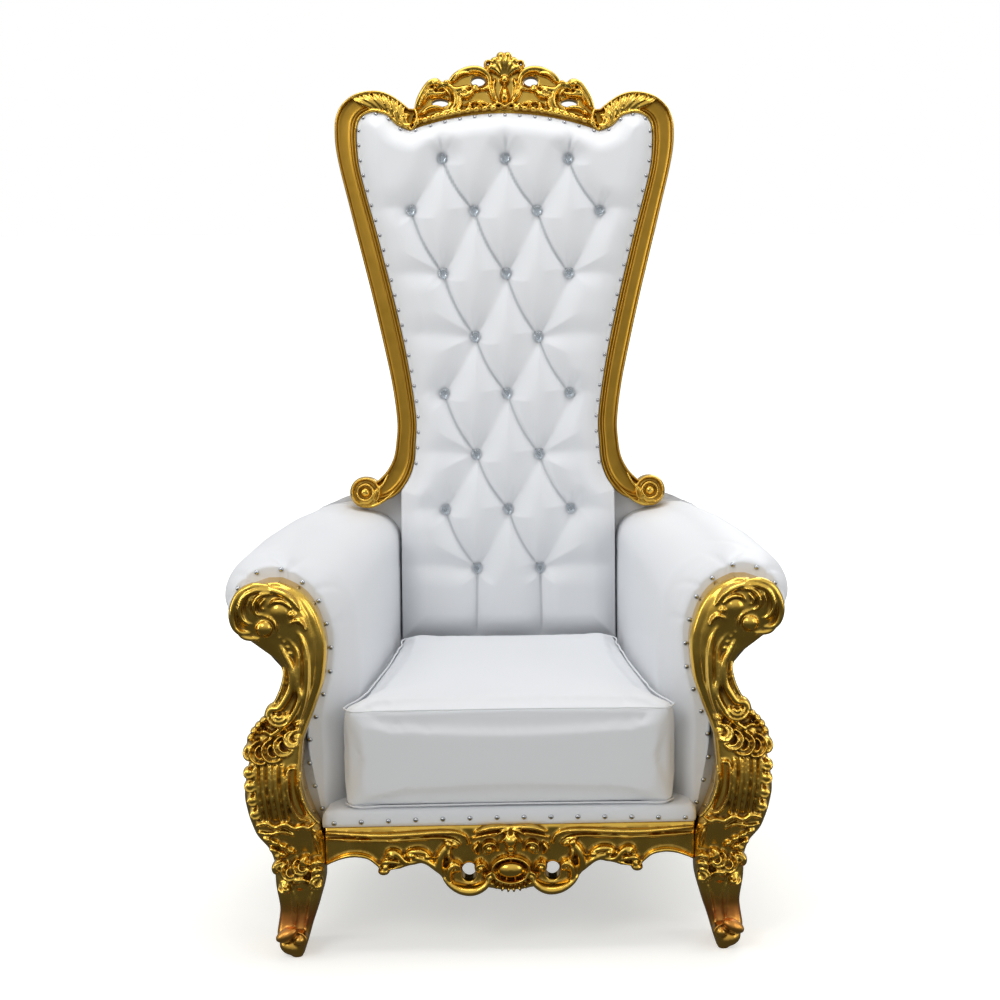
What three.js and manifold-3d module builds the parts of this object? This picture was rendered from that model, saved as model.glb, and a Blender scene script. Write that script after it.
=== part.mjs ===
// A carved throne: two front posts and an apron carry roll arms, a tall buttoned back and a loose
// box cushion. Millimetres, +Z up, the front faces -Y, and the origin is on the floor under the
// middle of the throne.
import * as THREE from "three";
import { ParametricGeometry } from "three/addons/geometries/ParametricGeometry.js";
import { mergeVertices } from "three/addons/utils/BufferGeometryUtils.js";
import Module from "manifold-3d";

const wasm = await Module();
wasm.setup();

// ---- Driving dimensions ----
const HEIGHT = 1650; // floor to the tip of the crest's shell
const RAIL_TOP = 232; // top of the seat rails, where the upholstery starts
const RAIL_BOTTOM = 156; // underside of the plain seat rails
const DECK_TOP = 262; // top of the nailed seat border, under the cushion
const CUSHION_TOP = 447; // front top edge of the loose cushion
const POST_BACK = 65; // back face of the front posts, whose flat front is at 0
const RAIL_HALF = 334; // half the clear width between the front posts at the rail
const LEAN = Math.atan(0.17); // the back leans this far from upright
const BACK_FOOT = 523.5; // where the plane of the back frame's face meets the floor
const FRAME_THICK = 40; // thickness of the back frame's board
const PANEL_THICK = 22; // thickness of the outside back
const BUTTON_RADIUS = 12.5;
const BUTTON_COLUMN = 66; // sideways step from one row's buttons to the next row's
const GAP = 0.35; // clearance between pieces that touch

// ---- Finishes ----
const finish = (color, roughness, metalness) =>
  new THREE.MeshStandardMaterial({ color, roughness, metalness });
const gilding = () => finish(0xc79a2e, 0.35, 0.9);
const leather = () => finish(0xf2f3f5, 0.5, 0);
const crystal = () => finish(0xd5dade, 0.05, 0.3);

// ---- Solids ----
// A closed geometry as a manifold-3d solid. Faces that shrink to a line at a pole are dropped, and
// a surface that was drawn inside out is turned round.
function solid(geometry) {
  geometry.deleteAttribute("normal");
  geometry.deleteAttribute("uv");
  const merged = mergeVertices(geometry, 1e-3);
  const faces = [];
  for (let i = 0; i < merged.index.count; i += 3) {
    const [a, b, c] = merged.index.array.slice(i, i + 3);
    if (a !== b && b !== c && c !== a) faces.push([a, b, c]);
  }
  const build = (list) =>
    new wasm.Manifold(
      new wasm.Mesh({
        numProp: 3,
        vertProperties: merged.attributes.position.array,
        triVerts: new Uint32Array(list.flat()),
      }),
    );
  const made = build(faces);
  return made.volume() > 0 ? made : build(faces.map(([a, b, c]) => [a, c, b]));
}

// A solid back as a named mesh with a finish.
function piece(name, made, material) {
  const { vertProperties, triVerts } = made.getMesh();
  const geometry = new THREE.BufferGeometry();
  geometry.setAttribute("position", new THREE.BufferAttribute(vertProperties, 3));
  geometry.setIndex(new THREE.BufferAttribute(triVerts, 1));
  geometry.computeVertexNormals();
  const mesh = new THREE.Mesh(geometry, material);
  mesh.name = name;
  return mesh;
}

// The same piece for the other side of the throne.
function mirrored(mesh, name) {
  const copy = mesh.clone();
  copy.name = name;
  copy.material = mesh.material.clone();
  copy.scale.x = -1;
  return copy;
}

const join = (solids) => solids.reduce((sum, next) => sum.add(next));

// A closed body through a row of outlines that all have the same number of corners.
function loft(outlines) {
  const middle = (outline) =>
    outline.reduce((sum, p) => sum.add(p), new THREE.Vector3()).divideScalar(outline.length);
  const corners = outlines[0].length;
  const ends = [outlines[0], outlines.at(-1)].map((end) => Array(corners).fill(middle(end)));
  const rows = [ends[0], ...outlines, ends[1]];
  const last = rows.length - 1;
  const surface = (u, v, target) =>
    target.copy(rows[Math.round(v * last)][Math.round(u * corners) % corners]);
  return solid(new ParametricGeometry(surface, corners, last));
}

// A board cut to a flat outline in X and Z, from depth front to depth back.
function board(shape, front, back, curveSegments = 2) {
  const depth = back - front;
  const geometry = new THREE.ExtrudeGeometry(shape, { depth, bevelEnabled: false, curveSegments });
  return solid(geometry.rotateX(Math.PI / 2).translate(0, back, 0));
}

// An egg-shaped boss of given half sizes.
function boss(x, y, z, halfX, halfY, halfZ, around = 8) {
  const ball = new THREE.SphereGeometry(1, around, around / 2);
  return solid(ball.rotateX(Math.PI / 2).scale(halfX, halfY, halfZ).translate(x, y, z));
}

// A carved ridge: a three-cornered rod, half sunk in the face behind it, along a line of [x, z]
// points. It is thickest at `fat` of its length and comes to a point at both ends. face is the
// depth of the surface that it stands on, as a number or as a function of the height.
function ridge(points, width, rise, face = 0, { steps = 4, fat = 0.5 } = {}) {
  const depth = typeof face === "function" ? face : () => face;
  const line = new THREE.CatmullRomCurve3(
    points.map(([x, z]) => new THREE.Vector3(x, depth(z) + 1, z)),
  );
  const bend = Math.log(0.5) / Math.log(fat);
  const outlines = [];
  for (let i = 0; i <= steps; i += 1) {
    const t = i / steps;
    const swell = Math.max(0.12, Math.sin(Math.PI * t ** bend));
    const middle = line.getPoint(t);
    const along = line.getTangent(t);
    const across = new THREE.Vector3(along.z, 0, -along.x).normalize();
    const outline = [];
    for (const [sideways, out] of [[0, -1], [0.75, 0.6], [-0.75, 0.6]]) {
      outline.push(
        middle
          .clone()
          .addScaledVector(across, sideways * width * swell)
          .add(new THREE.Vector3(0, out * rise * swell, 0)),
      );
    }
    outlines.push(outline);
  }
  return loft(outlines);
}

// Points on a spiral about (x, z) in the face of a board, from one radius and angle to another.
function spiral(x, z, startRadius, endRadius, startDegrees, endDegrees, count = 6) {
  return Array.from({ length: count }, (_, i) => {
    const t = i / (count - 1);
    const angle = THREE.MathUtils.degToRad(startDegrees + (endDegrees - startDegrees) * t);
    const radius = startRadius + (endRadius - startRadius) * t;
    return [x + radius * Math.cos(angle), z + radius * Math.sin(angle)];
  });
}

// Straight-line reading of a table whose first column rises.
function read(table, height, column) {
  const above = Math.max(1, table.findIndex((row) => row[0] >= height));
  const [low, high] = [table[above - 1], table[above]];
  const t = (height - low[0]) / (high[0] - low[0]);
  return low[column] + (high[column] - low[column]) * t;
}

// ---- Front posts: arm facing, knee and foot carved from one board ----
// Height, inner edge, outer edge and front of the carving, wherever the post's outline turns.
const POST = [
  [0, 376, 398, -22], // flat of the toe
  [14, 370, 414, -28],
  [30, 366, 427, -24], // tip of the toe
  [52, 360, 422, -6],
  [80, 350, 420, -2], // ankle
  [132, 334, 427, -14],
  [170, 334, 425, -6], // neck under the knee
  [214, 334, 450, -16], // moulding round the knee's foot
  [236, 338, 459, -22],
  [262, 354, 469, -26],
  [300, 368, 477, -28], // knee
  [340, 373, 470, -26],
  [400, 366, 456, -18],
  [428, 356, 444, -10],
  [449, 347, 428, -6],
  [503, 328, 398, 0], // waist of the arm facing
  [531, 324, 403, 0],
  [549, 323, 412, 0],
  [586, 324, 464, -2],
  [632, 336, 488, -6], // widest part of the scroll
  [659, 351, 482, -4],
  [676, 364, 469, -2],
  [690, 384, 446, 0],
  [697, 402, 424, 4], // top of the scroll
];
const POST_CORNERS = 8;
const POST_SQUARENESS = 0.5; // 1 is an oval section, 0 a square one

const postFace = (height) => read(POST, height, 3);
// The x of a point some part of the way from the left post's inner edge to its outer edge.
const onPost = (height, part) =>
  -(read(POST, height, 1) * (1 - part) + read(POST, height, 2) * part);

function postBoard(allowance = 0) {
  const rounded = (value) => Math.sign(value) * Math.abs(value) ** POST_SQUARENESS;
  const outlines = POST.map(([height, inner, outer, front]) =>
    Array.from({ length: POST_CORNERS }, (_, k) => {
      const angle = (2 * Math.PI * (k + 0.5)) / POST_CORNERS;
      const halfWidth = (outer - inner) / 2 + allowance;
      const halfDepth = (POST_BACK - front) / 2 + allowance;
      return new THREE.Vector3(
        -(inner + outer) / 2 + rounded(Math.cos(angle)) * halfWidth,
        (POST_BACK + front) / 2 + rounded(Math.sin(angle)) * halfDepth,
        height,
      );
    }),
  );
  return loft(outlines);
}

const EYE = [-420, 616]; // eye of the arm scroll
const CURL = [-408, 446]; // eye of the small scroll under the waist

function postCarving() {
  const parts = [];
  // Leaf fingers that curl out of the scroll's eye and over its head.
  for (let k = 0; k < 4; k += 1) {
    const start = 76 + 52 * k;
    parts.push(ridge(spiral(...EYE, 24, 58 - 2 * k, start, start + 60, 4), 21, 12, -1));
  }
  parts.push(boss(EYE[0], -2, EYE[1], 19, 15, 19));
  parts.push(ridge(spiral(...EYE, 40, 66, 10, 88, 4), 20, 11, 0));
  // Two reeds that run down the S of the facing into the small scroll.
  const reed = (part, top, bottom, width) => {
    const points = Array.from({ length: 5 }, (_, i) => {
      const height = top + ((bottom - top) * i) / 4;
      return [onPost(height, part), height];
    });
    return ridge(points, width, 13, postFace, { steps: 6, fat: 0.6 });
  };
  parts.push(reed(0.62, 596, 446, 26));
  parts.push(reed(0.3, 612, 404, 18));
  parts.push(ridge(spiral(...CURL, 34, 10, 20, -330, 8), 12, 12, -6, { steps: 7 }));
  // The cuff's overlapping crescents.
  for (let k = 0; k < 4; k += 1) {
    const x = -456 + 20 * k;
    const top = 402 + 5 * k;
    const points = [[x, top], [x - 2, top - 34], [x + 14, top - 52], [x + 32, top - 44]];
    parts.push(ridge(points, 15, 13, -20));
  }
  // The knee's upright flutes, and the leaf buds down its outer edge.
  for (let k = 0; k < 3; k += 1) {
    const part = 0.3 + 0.22 * k;
    const points = [344, 300, 236].map((height) => [onPost(height, part), height]);
    parts.push(ridge(points, 16, 11, postFace, { steps: 3 }));
  }
  for (const height of [318, 262]) {
    parts.push(boss(onPost(height, 0.93), postFace(height) + 6, height, 13, 15, 21, 6));
  }
  // The moulding under the knee.
  parts.push(ridge([[-446, 214], [-412, 205], [-376, 214], [-342, 208]], 20, 13, -12));
  // Leaf curls round the neck and the two-lobed toe.
  for (const [x, z, turn] of [[-400, 160, 1], [-362, 140, -1], [-398, 118, 1]]) {
    parts.push(ridge(spiral(x, z, 24, 8, 90, 90 + 260 * turn, 6), 15, 14, -8));
  }
  parts.push(ridge([[-386, 98], [-388, 66], [-393, 34]], 18, 9, postFace));
  parts.push(boss(-408, -20, 22, 16, 16, 19, 6));
  return parts;
}

// ---- Front rail: the pierced apron under the seat ----
const RAIL_FRONT = 10;
const RAIL_BACK = 48;
// Bottom edge of the apron's right half, from the post to the middle.
const APRON_BOTTOM = [
  [309, 171],
  [280, 173],
  [253, 168],
  [229, 149], // hanging bud
  [203, 149],
  [184, 156],
  [160, 160],
  [128, 141],
  [102, 115],
  [73, 103], // lowest turn of the C-scroll
  [44, 111],
  [20, 106],
];
const APRON_HOLE = [76, 148]; // middle of the pierced eye inside each C-scroll
const APRON_END = 356; // the board runs into the post, which is then cut out of it

function oval(x, z, halfX, halfZ) {
  return new THREE.Path().absellipse(x, z, halfX, halfZ, 0, 2 * Math.PI, false);
}

function frontRail() {
  const flip = ([x, z]) => new THREE.Vector2(-x, z);
  const plain = ([x, z]) => new THREE.Vector2(x, z);
  const shape = new THREE.Shape();
  shape.moveTo(APRON_END, RAIL_TOP);
  shape.lineTo(APRON_END, 153);
  shape.splineThru(APRON_BOTTOM.map(plain).concat(APRON_BOTTOM.map(flip).reverse()));
  shape.lineTo(-APRON_END, 153);
  shape.lineTo(-APRON_END, RAIL_TOP);
  for (const side of [-1, 1]) shape.holes.push(oval(side * APRON_HOLE[0], APRON_HOLE[1], 9, 16));
  const parts = [board(shape, RAIL_FRONT, RAIL_BACK, 2)];
  const face = RAIL_FRONT;
  parts.push(boss(0, face, 148, 33, 20, 23, 12));
  parts.push(ridge(spiral(0, 148, 46, 46, 200, -20, 8), 14, 13, face, { steps: 7 }));
  parts.push(ridge(spiral(0, 146, 46, 40, 212, 328, 5), 12, 11, face));
  parts.push(boss(0, face, 206, 15, 14, 15, 6));
  for (const side of [-1, 1]) {
    const way = (points) => points.map(([x, z]) => [side * x, z]);
    // Two reeds under the upholstery, which curl down beside the centre.
    const reed = way([[332, 223], [230, 215], [130, 220], [88, 217], [72, 198]]);
    parts.push(ridge(reed, 13, 12, face, { steps: 7 }));
    parts.push(ridge(way([[330, 203], [230, 199], [140, 202], [104, 190]]), 9, 9, face));
    // The C-scroll round the pierced eye.
    const scroll = way(spiral(...APRON_HOLE, 36, 25, 100, -170, 8));
    parts.push(ridge(scroll, 14, 14, face, { steps: 8 }));
    parts.push(boss(side * 38, face, 190, 12, 14, 12, 6));
    // Leaves that stand and lie along the apron.
    parts.push(ridge(way([[112, 134], [122, 160], [112, 190]]), 18, 12, face));
    parts.push(ridge(way([[122, 146], [150, 172], [186, 178]]), 16, 12, face));
    parts.push(ridge(way([[150, 166], [190, 164], [222, 178]]), 14, 12, face));
    parts.push(boss(side * 216, face, 160, 17, 14, 14, 6));
    // The bead that follows the arch to the post.
    parts.push(ridge(way([[240, 168], [280, 182], [330, 164]]), 11, 10, face));
  }
  return join(parts).subtract(postBoard(GAP)).subtract(mirrorSolid(postBoard(GAP)));
}

// A solid turned over to the other side of the throne.
function mirrorSolid(made) {
  const { vertProperties, triVerts } = made.getMesh();
  const geometry = new THREE.BufferGeometry();
  geometry.setAttribute("position", new THREE.BufferAttribute(vertProperties, 3));
  geometry.setIndex(new THREE.BufferAttribute(triVerts, 1));
  return solid(geometry.scale(-1, 1, 1));
}

// ---- Side and rear rails, rear legs ----
const ARM_FRONT = POST_BACK + GAP; // the arms and side rails start behind the posts
const REAR_LEG_FRONT = 570;
const SIDE_RAIL = { thick: 26, frontX: 420, rearX: 376 };

function sideRail() {
  // Seen from the side: straight on top, with a low arch underneath.
  const arch = 18;
  const length = REAR_LEG_FRONT - GAP - ARM_FRONT;
  const shape = new THREE.Shape();
  shape.moveTo(0, RAIL_TOP);
  shape.lineTo(0, RAIL_BOTTOM);
  shape.quadraticCurveTo(length / 2, RAIL_BOTTOM + 2 * arch, length, RAIL_BOTTOM);
  shape.lineTo(length, RAIL_TOP);
  const geometry = new THREE.ExtrudeGeometry(shape, {
    depth: SIDE_RAIL.thick,
    bevelEnabled: false,
    curveSegments: 6,
  });
  // The outline's X runs back along Y, and the rail slants in with the arm above it.
  geometry.applyMatrix4(new THREE.Matrix4().set(0, 0, 1, 0, 1, 0, 0, 0, 0, 1, 0, 0, 0, 0, 0, 1));
  const slant = (SIDE_RAIL.frontX - SIDE_RAIL.rearX) / length;
  const at = geometry.attributes.position;
  for (let i = 0; i < at.count; i += 1) {
    at.setX(i, at.getX(i) - SIDE_RAIL.frontX + slant * at.getY(i));
    at.setY(i, at.getY(i) + ARM_FRONT);
  }
  return solid(geometry);
}

// Height, middle in X and Y, and half sizes of the raked rear leg.
const REAR_LEG = [
  [0, 368, 742, 17, 19],
  [40, 366, 722, 19, 21],
  [110, 358, 676, 23, 26],
  [170, 350, 630, 26, 34],
  [RAIL_TOP, 347, 606, 27, 35],
];

function rearLeg() {
  const chamfer = 0.6;
  const corners = [[1, chamfer], [chamfer, 1], [-chamfer, 1], [-1, chamfer]];
  const ring = corners.concat(corners.map(([a, b]) => [-a, -b]));
  return loft(
    REAR_LEG.map(([height, x, y, halfX, halfY]) =>
      ring.map(([a, b]) => new THREE.Vector3(-x + a * halfX, y + b * halfY, height)),
    ),
  );
}

function rearRail() {
  const half = 347 - 27 - GAP;
  const box = new THREE.BoxGeometry(2 * half, 26, RAIL_TOP - RAIL_BOTTOM);
  return solid(box.translate(0, 612, (RAIL_TOP + RAIL_BOTTOM) / 2));
}

// ---- The leaning back, drawn upright: X across, Y back from the frame's face, Z up the slope ----
const slope = (height) => height / Math.cos(LEAN);

// Middle of the left stile and half its width, from the crest's valley round the ear and down to
// the scroll: x, true height, half width.
const STILE = [
  [-193, 1505, 24], // valley beside the crest
  [-212, 1511, 22],
  [-236, 1532, 20],
  [-260, 1541, 22],
  [-280, 1543, 22],
  [-303, 1537, 23], // ear
  [-320, 1525, 24],
  [-331, 1506, 24],
  [-334, 1482, 23],
  [-333, 1449, 22],
  [-326, 1403, 20],
  [-310, 1339, 20],
  [-291, 1266, 21],
  [-275, 1202, 21],
  [-260, 1141, 21],
  [-237, 1040, 21],
  [-221, 957, 20],
  [-212, 884, 20], // waist
  [-214, 838, 20],
  [-219, 800, 22],
  [-233, 768, 24],
  [-254, 745, 24],
  [-280, 733, 20], // neck of the scroll
];
const VOLUTE = { x: -299, height: 735, radius: 33 };

// Unit normal of the stile's middle line at a station, pointing to the outside of the frame.
function stileNormal(i) {
  const [before, after] = [STILE[Math.max(0, i - 1)], STILE[Math.min(STILE.length - 1, i + 1)]];
  const along = new THREE.Vector2(after[0] - before[0], slope(after[1] - before[1])).normalize();
  return new THREE.Vector2(along.y, -along.x);
}

// A point across the stile at station i: offset -1 is its outer edge and 1 its inner edge.
function acrossStile(i, offset, extra = 0) {
  const [x, height, half] = STILE[i];
  const reach = offset * half + Math.sign(offset) * extra;
  return new THREE.Vector2(x, slope(height)).addScaledVector(stileNormal(i), -reach);
}

// The board's section: an outer bead, a wide hollow and an inner bead.
const STILE_SECTION = [
  [-1, FRAME_THICK],
  [-1, 2],
  [-0.82, -7],
  [-0.58, 3],
  [0.5, 4],
  [0.78, -5],
  [1, 2],
  [1, FRAME_THICK],
];

function backFrame() {
  const outlines = STILE.map((_, i) =>
    STILE_SECTION.map(([offset, depth]) => {
      const at = acrossStile(i, offset);
      return new THREE.Vector3(at.x, depth, at.y);
    }),
  );
  const parts = [loft(outlines)];
  const { x, height, radius } = VOLUTE;
  const drum = new THREE.CylinderGeometry(radius, radius, FRAME_THICK + 8, 14);
  parts.push(solid(drum.translate(x, (FRAME_THICK - 8) / 2, slope(height))));
  parts.push(boss(x, -7, slope(height), 17, 8, 17));
  // Acanthus lobes over the ear.
  for (let i = 2; i <= 7; i += 1) {
    const [outer, inner] = [acrossStile(i, -0.9), acrossStile(i - 1, 0.75)];
    parts.push(ridge([[outer.x, outer.y], [inner.x, inner.y]], 19, 11, 0, { steps: 3 }));
  }
  return join(parts);
}

// ---- Crest ----
// Left half of the crest's top edge, from the valley to the middle, in true heights.
const CREST_TOP = [
  [-191, 1529],
  [-184, 1543],
  [-169, 1566],
  [-157, 1583],
  [-144, 1589], // knob of the leaf
  [-122, 1586],
  [-98, 1602],
  [-72, 1614],
  [-49, 1618],
  [-36, 1613],
  [-39, 1627],
  [-28, 1638],
  [-12, HEIGHT - 5],
];
const CREST_END = [200, 1483.5]; // where its lower edge meets the inner corner of the ear
const CREST_RISE = 36; // rise of the lower edge to the middle
const SHELL_FOOT = 1604; // where the lobes of the shell spring from

const crestBottom = (x) => CREST_END[1] + CREST_RISE * (1 - (x / CREST_END[0]) ** 2);

function crestShape() {
  const lower = [];
  for (let k = -5; k <= 5; k += 1) {
    const x = (CREST_END[0] * k) / 5;
    lower.push(new THREE.Vector2(x, slope(crestBottom(x))));
  }
  const left = CREST_TOP.map(([x, height]) => new THREE.Vector2(x, slope(height)));
  const right = left.map((p) => new THREE.Vector2(-p.x, p.y));
  const shape = new THREE.Shape(lower);
  shape.splineThru(right);
  shape.lineTo(left.at(-1).x, left.at(-1).y);
  shape.splineThru(left.toReversed());
  return shape;
}

function crest(stiles) {
  const shape = crestShape();
  for (const side of [-1, 1]) {
    shape.holes.push(oval(side * 55, slope(1588), 16, 10));
    shape.holes.push(oval(side * 138, slope(1541), 17, 7));
  }
  let made = board(shape, 0, FRAME_THICK - 4, 1);
  const parts = [];
  const line = (points) => points.map(([x, height]) => [x, slope(height)]);
  // The shell: a fan of lobes over a bead and a drop.
  for (let k = -2; k <= 2; k += 1) {
    const tilt = THREE.MathUtils.degToRad(24 * k);
    const reach = HEIGHT - SHELL_FOOT - 4 * Math.abs(k);
    const tip = [reach * Math.sin(tilt), SHELL_FOOT + reach * Math.cos(tilt)];
    parts.push(ridge(line([[4 * k, SHELL_FOOT - 8], tip]), 17, 15, 0, { fat: 0.65 }));
  }
  parts.push(boss(0, -2, slope(1592), 15, 16, 14));
  parts.push(boss(0, -2, slope(1550), 13, 13, 24));
  for (const side of [-1, 1]) {
    const way = (points) => line(points).map(([x, z]) => [side * x, z]);
    const scroll = [[118, 1578], [98, 1594], [70, 1606], [42, 1604], [30, 1588], [44, 1572]];
    parts.push(ridge(way([...scroll, [70, 1574]]), 15, 14, 0, { steps: 7 }));
    const leaf = [[186, 1524], [174, 1550], [158, 1574], [144, 1581], [134, 1572]];
    parts.push(ridge(way(leaf), 18, 14, 0, { steps: 5 }));
    parts.push(boss(side * 144, 0, slope(1580), 10, 15, 9, 6));
    parts.push(ridge(way([[126, 1584], [104, 1568], [110, 1540], [96, 1520]]), 16, 12, 0));
    parts.push(ridge(way([[30, 1570], [44, 1550], [76, 1546], [92, 1556]]), 14, 12, 0));
    parts.push(ridge(way([[20, 1580], [26, 1556], [12, 1532]]), 12, 11, 0));
    parts.push(ridge(way([[184, 1504], [120, 1517], [60, 1527], [2, 1531]]), 13, 12, 0));
  }
  made = join([made, ...parts]);
  return stiles.reduce((rest, stile) => rest.subtract(stile), made);
}

// The end of the stile grown by the clearance, to cut the crest that butts against it.
function stileCutter() {
  const [from, to] = [-30, FRAME_THICK + 10];
  const normal = stileNormal(0);
  const endward = new THREE.Vector2(normal.y, -normal.x).multiplyScalar(GAP);
  const outlines = STILE.slice(0, 5).map((_, i) => {
    const outer = acrossStile(i, -1, GAP);
    const inner = acrossStile(i, 1, GAP);
    if (i === 0) [outer, inner].forEach((at) => at.add(endward));
    return [[outer, from], [inner, from], [inner, to], [outer, to]].map(
      ([at, depth]) => new THREE.Vector3(at.x, depth, at.y),
    );
  });
  return loft(outlines);
}

// ---- Buttoned back pad ----
const PAD_FOOT = 430; // lower end of the pad, behind the cushion
const PAD_SIDE = 224.5; // half its width between the arms
const PAD_SHOULDER = 742; // height where it widens under the frame's scroll
const PAD_PUFF = 24; // how far the diamonds stand out from the buttons
const PAD_SUNK = 8; // how far the buttons sit in front of the frame's face
const PAD_EDGE = 50; // width of the rounded edge
// Heights of the rows of buttons, and the columns that each row fills, counted from the middle.
const BUTTON_ROWS = [
  [1424, [-2, 0, 2]],
  [1316, [-3, -1, 1, 3]],
  [1186, [-2, 0, 2]],
  [1055, [-1, 1]],
  [938, [-2, 0, 2]],
  [812, [-1, 1]],
  [698, [-2, 0, 2]],
  [576, [-1, 1]],
];

// Left edge of the pad from its foot to the crest, along the inner edge of the frame.
function padEdge() {
  const inner = STILE.map((_, i) => acrossStile(i, 1, GAP)).slice(0, 21);
  const foot = [PAD_FOOT, PAD_SHOULDER].map((height) => new THREE.Vector2(-PAD_SIDE, slope(height)));
  return foot.concat(inner.reverse());
}

function backPad() {
  const edge = padEdge();
  const shape = new THREE.Shape(edge);
  for (let k = -4; k <= 4; k += 1) {
    const x = (CREST_END[0] * k) / 5;
    shape.lineTo(x, slope(crestBottom(x) - GAP));
  }
  for (const p of edge.toReversed()) shape.lineTo(-p.x, p.y);
  // A slab whose face is quilted: its grid lines run through the buttons and half way between.
  const heights = BUTTON_ROWS.map((row) => row[0]).reverse();
  const lines = [PAD_FOOT - 10, 500];
  heights.forEach((height, i) => {
    lines.push(height);
    lines.push(i < heights.length - 1 ? (height + heights[i + 1]) / 2 : height + 56);
  });
  lines.push(1560);
  const columns = 20;
  const width = BUTTON_COLUMN * 10;
  const slab = new THREE.BoxGeometry(width, 2, lines.length - 1, columns, 1, lines.length - 1);
  const at = slab.attributes.position;
  const halfWidth = (height) => {
    const above = edge.findIndex((p) => p.y >= slope(height));
    if (above < 1) return PAD_SIDE;
    const [low, high] = [edge[above - 1], edge[above]];
    return -THREE.MathUtils.mapLinear(slope(height), low.y, high.y, low.x, high.x);
  };
  for (let i = 0; i < at.count; i += 1) {
    const row = Math.round(at.getZ(i) + (lines.length - 1) / 2);
    const x = at.getX(i);
    const height = lines[row];
    // Rows count in half steps from the lowest row of buttons.
    const wave = Math.cos((Math.PI * x) / BUTTON_COLUMN) * Math.cos((Math.PI * (row - 2)) / 2);
    const rest = row < 2 ? 1 : ((1 + wave) / 2) ** 1.5;
    const inside = THREE.MathUtils.clamp((halfWidth(height) - Math.abs(x)) / PAD_EDGE, 0, 1);
    const lift = Math.sqrt(inside) * (PAD_SUNK + PAD_PUFF * rest);
    at.setZ(i, slope(height));
    at.setY(i, at.getY(i) > 0 ? FRAME_THICK : -lift);
  }
  return board(shape, -60, FRAME_THICK, 1).intersect(solid(slab));
}

// A faceted crystal button: a pointed back, a wide girdle and a flat table.
function button() {
  const profile = [[0, 7], [BUTTON_RADIUS, 0], [BUTTON_RADIUS * 0.62, -6], [0, -6]];
  const points = profile.map(([radius, depth]) => new THREE.Vector2(radius, depth));
  return solid(new THREE.LatheGeometry(points, 8));
}

// ---- Roll arms ----
// Each row is a section of the arm: how far back it is (0 to 1), the inner wall's distance from
// the middle at the seat, at 520 and at 590 high, the inner corner of the top and its shoulder,
// the roll's centre and radius, and the outer wall at its waist, half way down and at its foot.
const ARM_SECTIONS = [
  {
    back: 0,
    wall: [333, 313, 309],
    top: [320, 632, 340, 670],
    roll: [418, 630, 82],
    outer: [388, 418, 422],
  },
  {
    back: 0.04,
    wall: [305, 297, 298],
    top: [308, 636, 334, 678],
    roll: [421, 629, 87],
    outer: [390, 422, 424],
  },
  {
    back: 0.12,
    wall: [276, 274, 280],
    top: [292, 642, 324, 686],
    roll: [426, 629, 93],
    outer: [390, 422, 422],
  },
  {
    back: 0.4,
    wall: [257, 257, 262],
    top: [272, 650, 306, 694],
    roll: [408, 632, 92],
    outer: [386, 416, 412],
  },
  {
    back: 0.7,
    wall: [240, 240, 243],
    top: [250, 655, 282, 696],
    roll: [385, 628, 90],
    outer: [378, 402, 398],
  },
  {
    back: 1,
    wall: [226, 226, 227],
    top: [231, 648, 262, 682],
    roll: [355, 621, 84],
    outer: [366, 386, 382],
  },
];
const ARM_FOOT = RAIL_TOP + GAP;
const ROLL_TUCK = 0.33; // how much flatter the roll is underneath

// Where the front face of the outside back is at a height, so the arm ends against it.
const panelFace = (height) =>
  BACK_FOOT + Math.tan(LEAN) * height + (FRAME_THICK - GAP) / Math.cos(LEAN);

function arm() {
  const outlines = ARM_SECTIONS.map(({ back, wall, top, roll, outer }) => {
    const [x, z, radius] = roll;
    const section = [
      [wall[0], ARM_FOOT],
      [wall[0], 430],
      [wall[1], 520],
      [wall[2], 590],
      [top[0], top[1]],
      [top[2], top[3]],
    ];
    for (let degrees = 120; degrees >= -80; degrees -= 25) {
      const angle = THREE.MathUtils.degToRad(degrees);
      const reach = radius * (1 - ROLL_TUCK * Math.max(0, -Math.sin(angle)));
      section.push([x + reach * Math.cos(angle), z + reach * Math.sin(angle)]);
    }
    section.push([outer[0], 505], [outer[1], 400], [outer[2], ARM_FOOT]);
    return section.map(([distance, height]) => {
      const y = ARM_FRONT + back * (panelFace(height) - ARM_FRONT);
      return new THREE.Vector3(-distance, y, height);
    });
  });
  return loft(outlines);
}

// ---- Outside back ----
function backPanel() {
  const middle = STILE.map((_, i) => acrossStile(i, 0.15)).slice(0, 19);
  const shape = new THREE.Shape();
  const foot = slope(RAIL_TOP + 12);
  shape.moveTo(-378, foot);
  shape.lineTo(-380, slope(400));
  shape.lineTo(-362, slope(505));
  for (let degrees = -65; degrees <= 90; degrees += 31) {
    const angle = THREE.MathUtils.degToRad(degrees);
    const reach = 78 * (1 - ROLL_TUCK * Math.max(0, -Math.sin(angle)));
    shape.lineTo(-355 - reach * Math.cos(angle), slope(636 + reach * Math.sin(angle)));
  }
  for (const [x, height] of [[-290, 722], [-254, 738], [-230, 780]]) {
    shape.lineTo(x, slope(height));
  }
  for (const p of middle.toReversed()) shape.lineTo(p.x, p.y);
  const half = [...shape.getPoints(1)];
  for (let k = -3; k <= 3; k += 1) shape.lineTo(45 * k, slope(crestBottom(45 * k) + 16));
  for (const p of half.toReversed()) shape.lineTo(-p.x, p.y);
  return board(shape, FRAME_THICK + GAP, FRAME_THICK + GAP + PANEL_THICK, 1);
}

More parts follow.
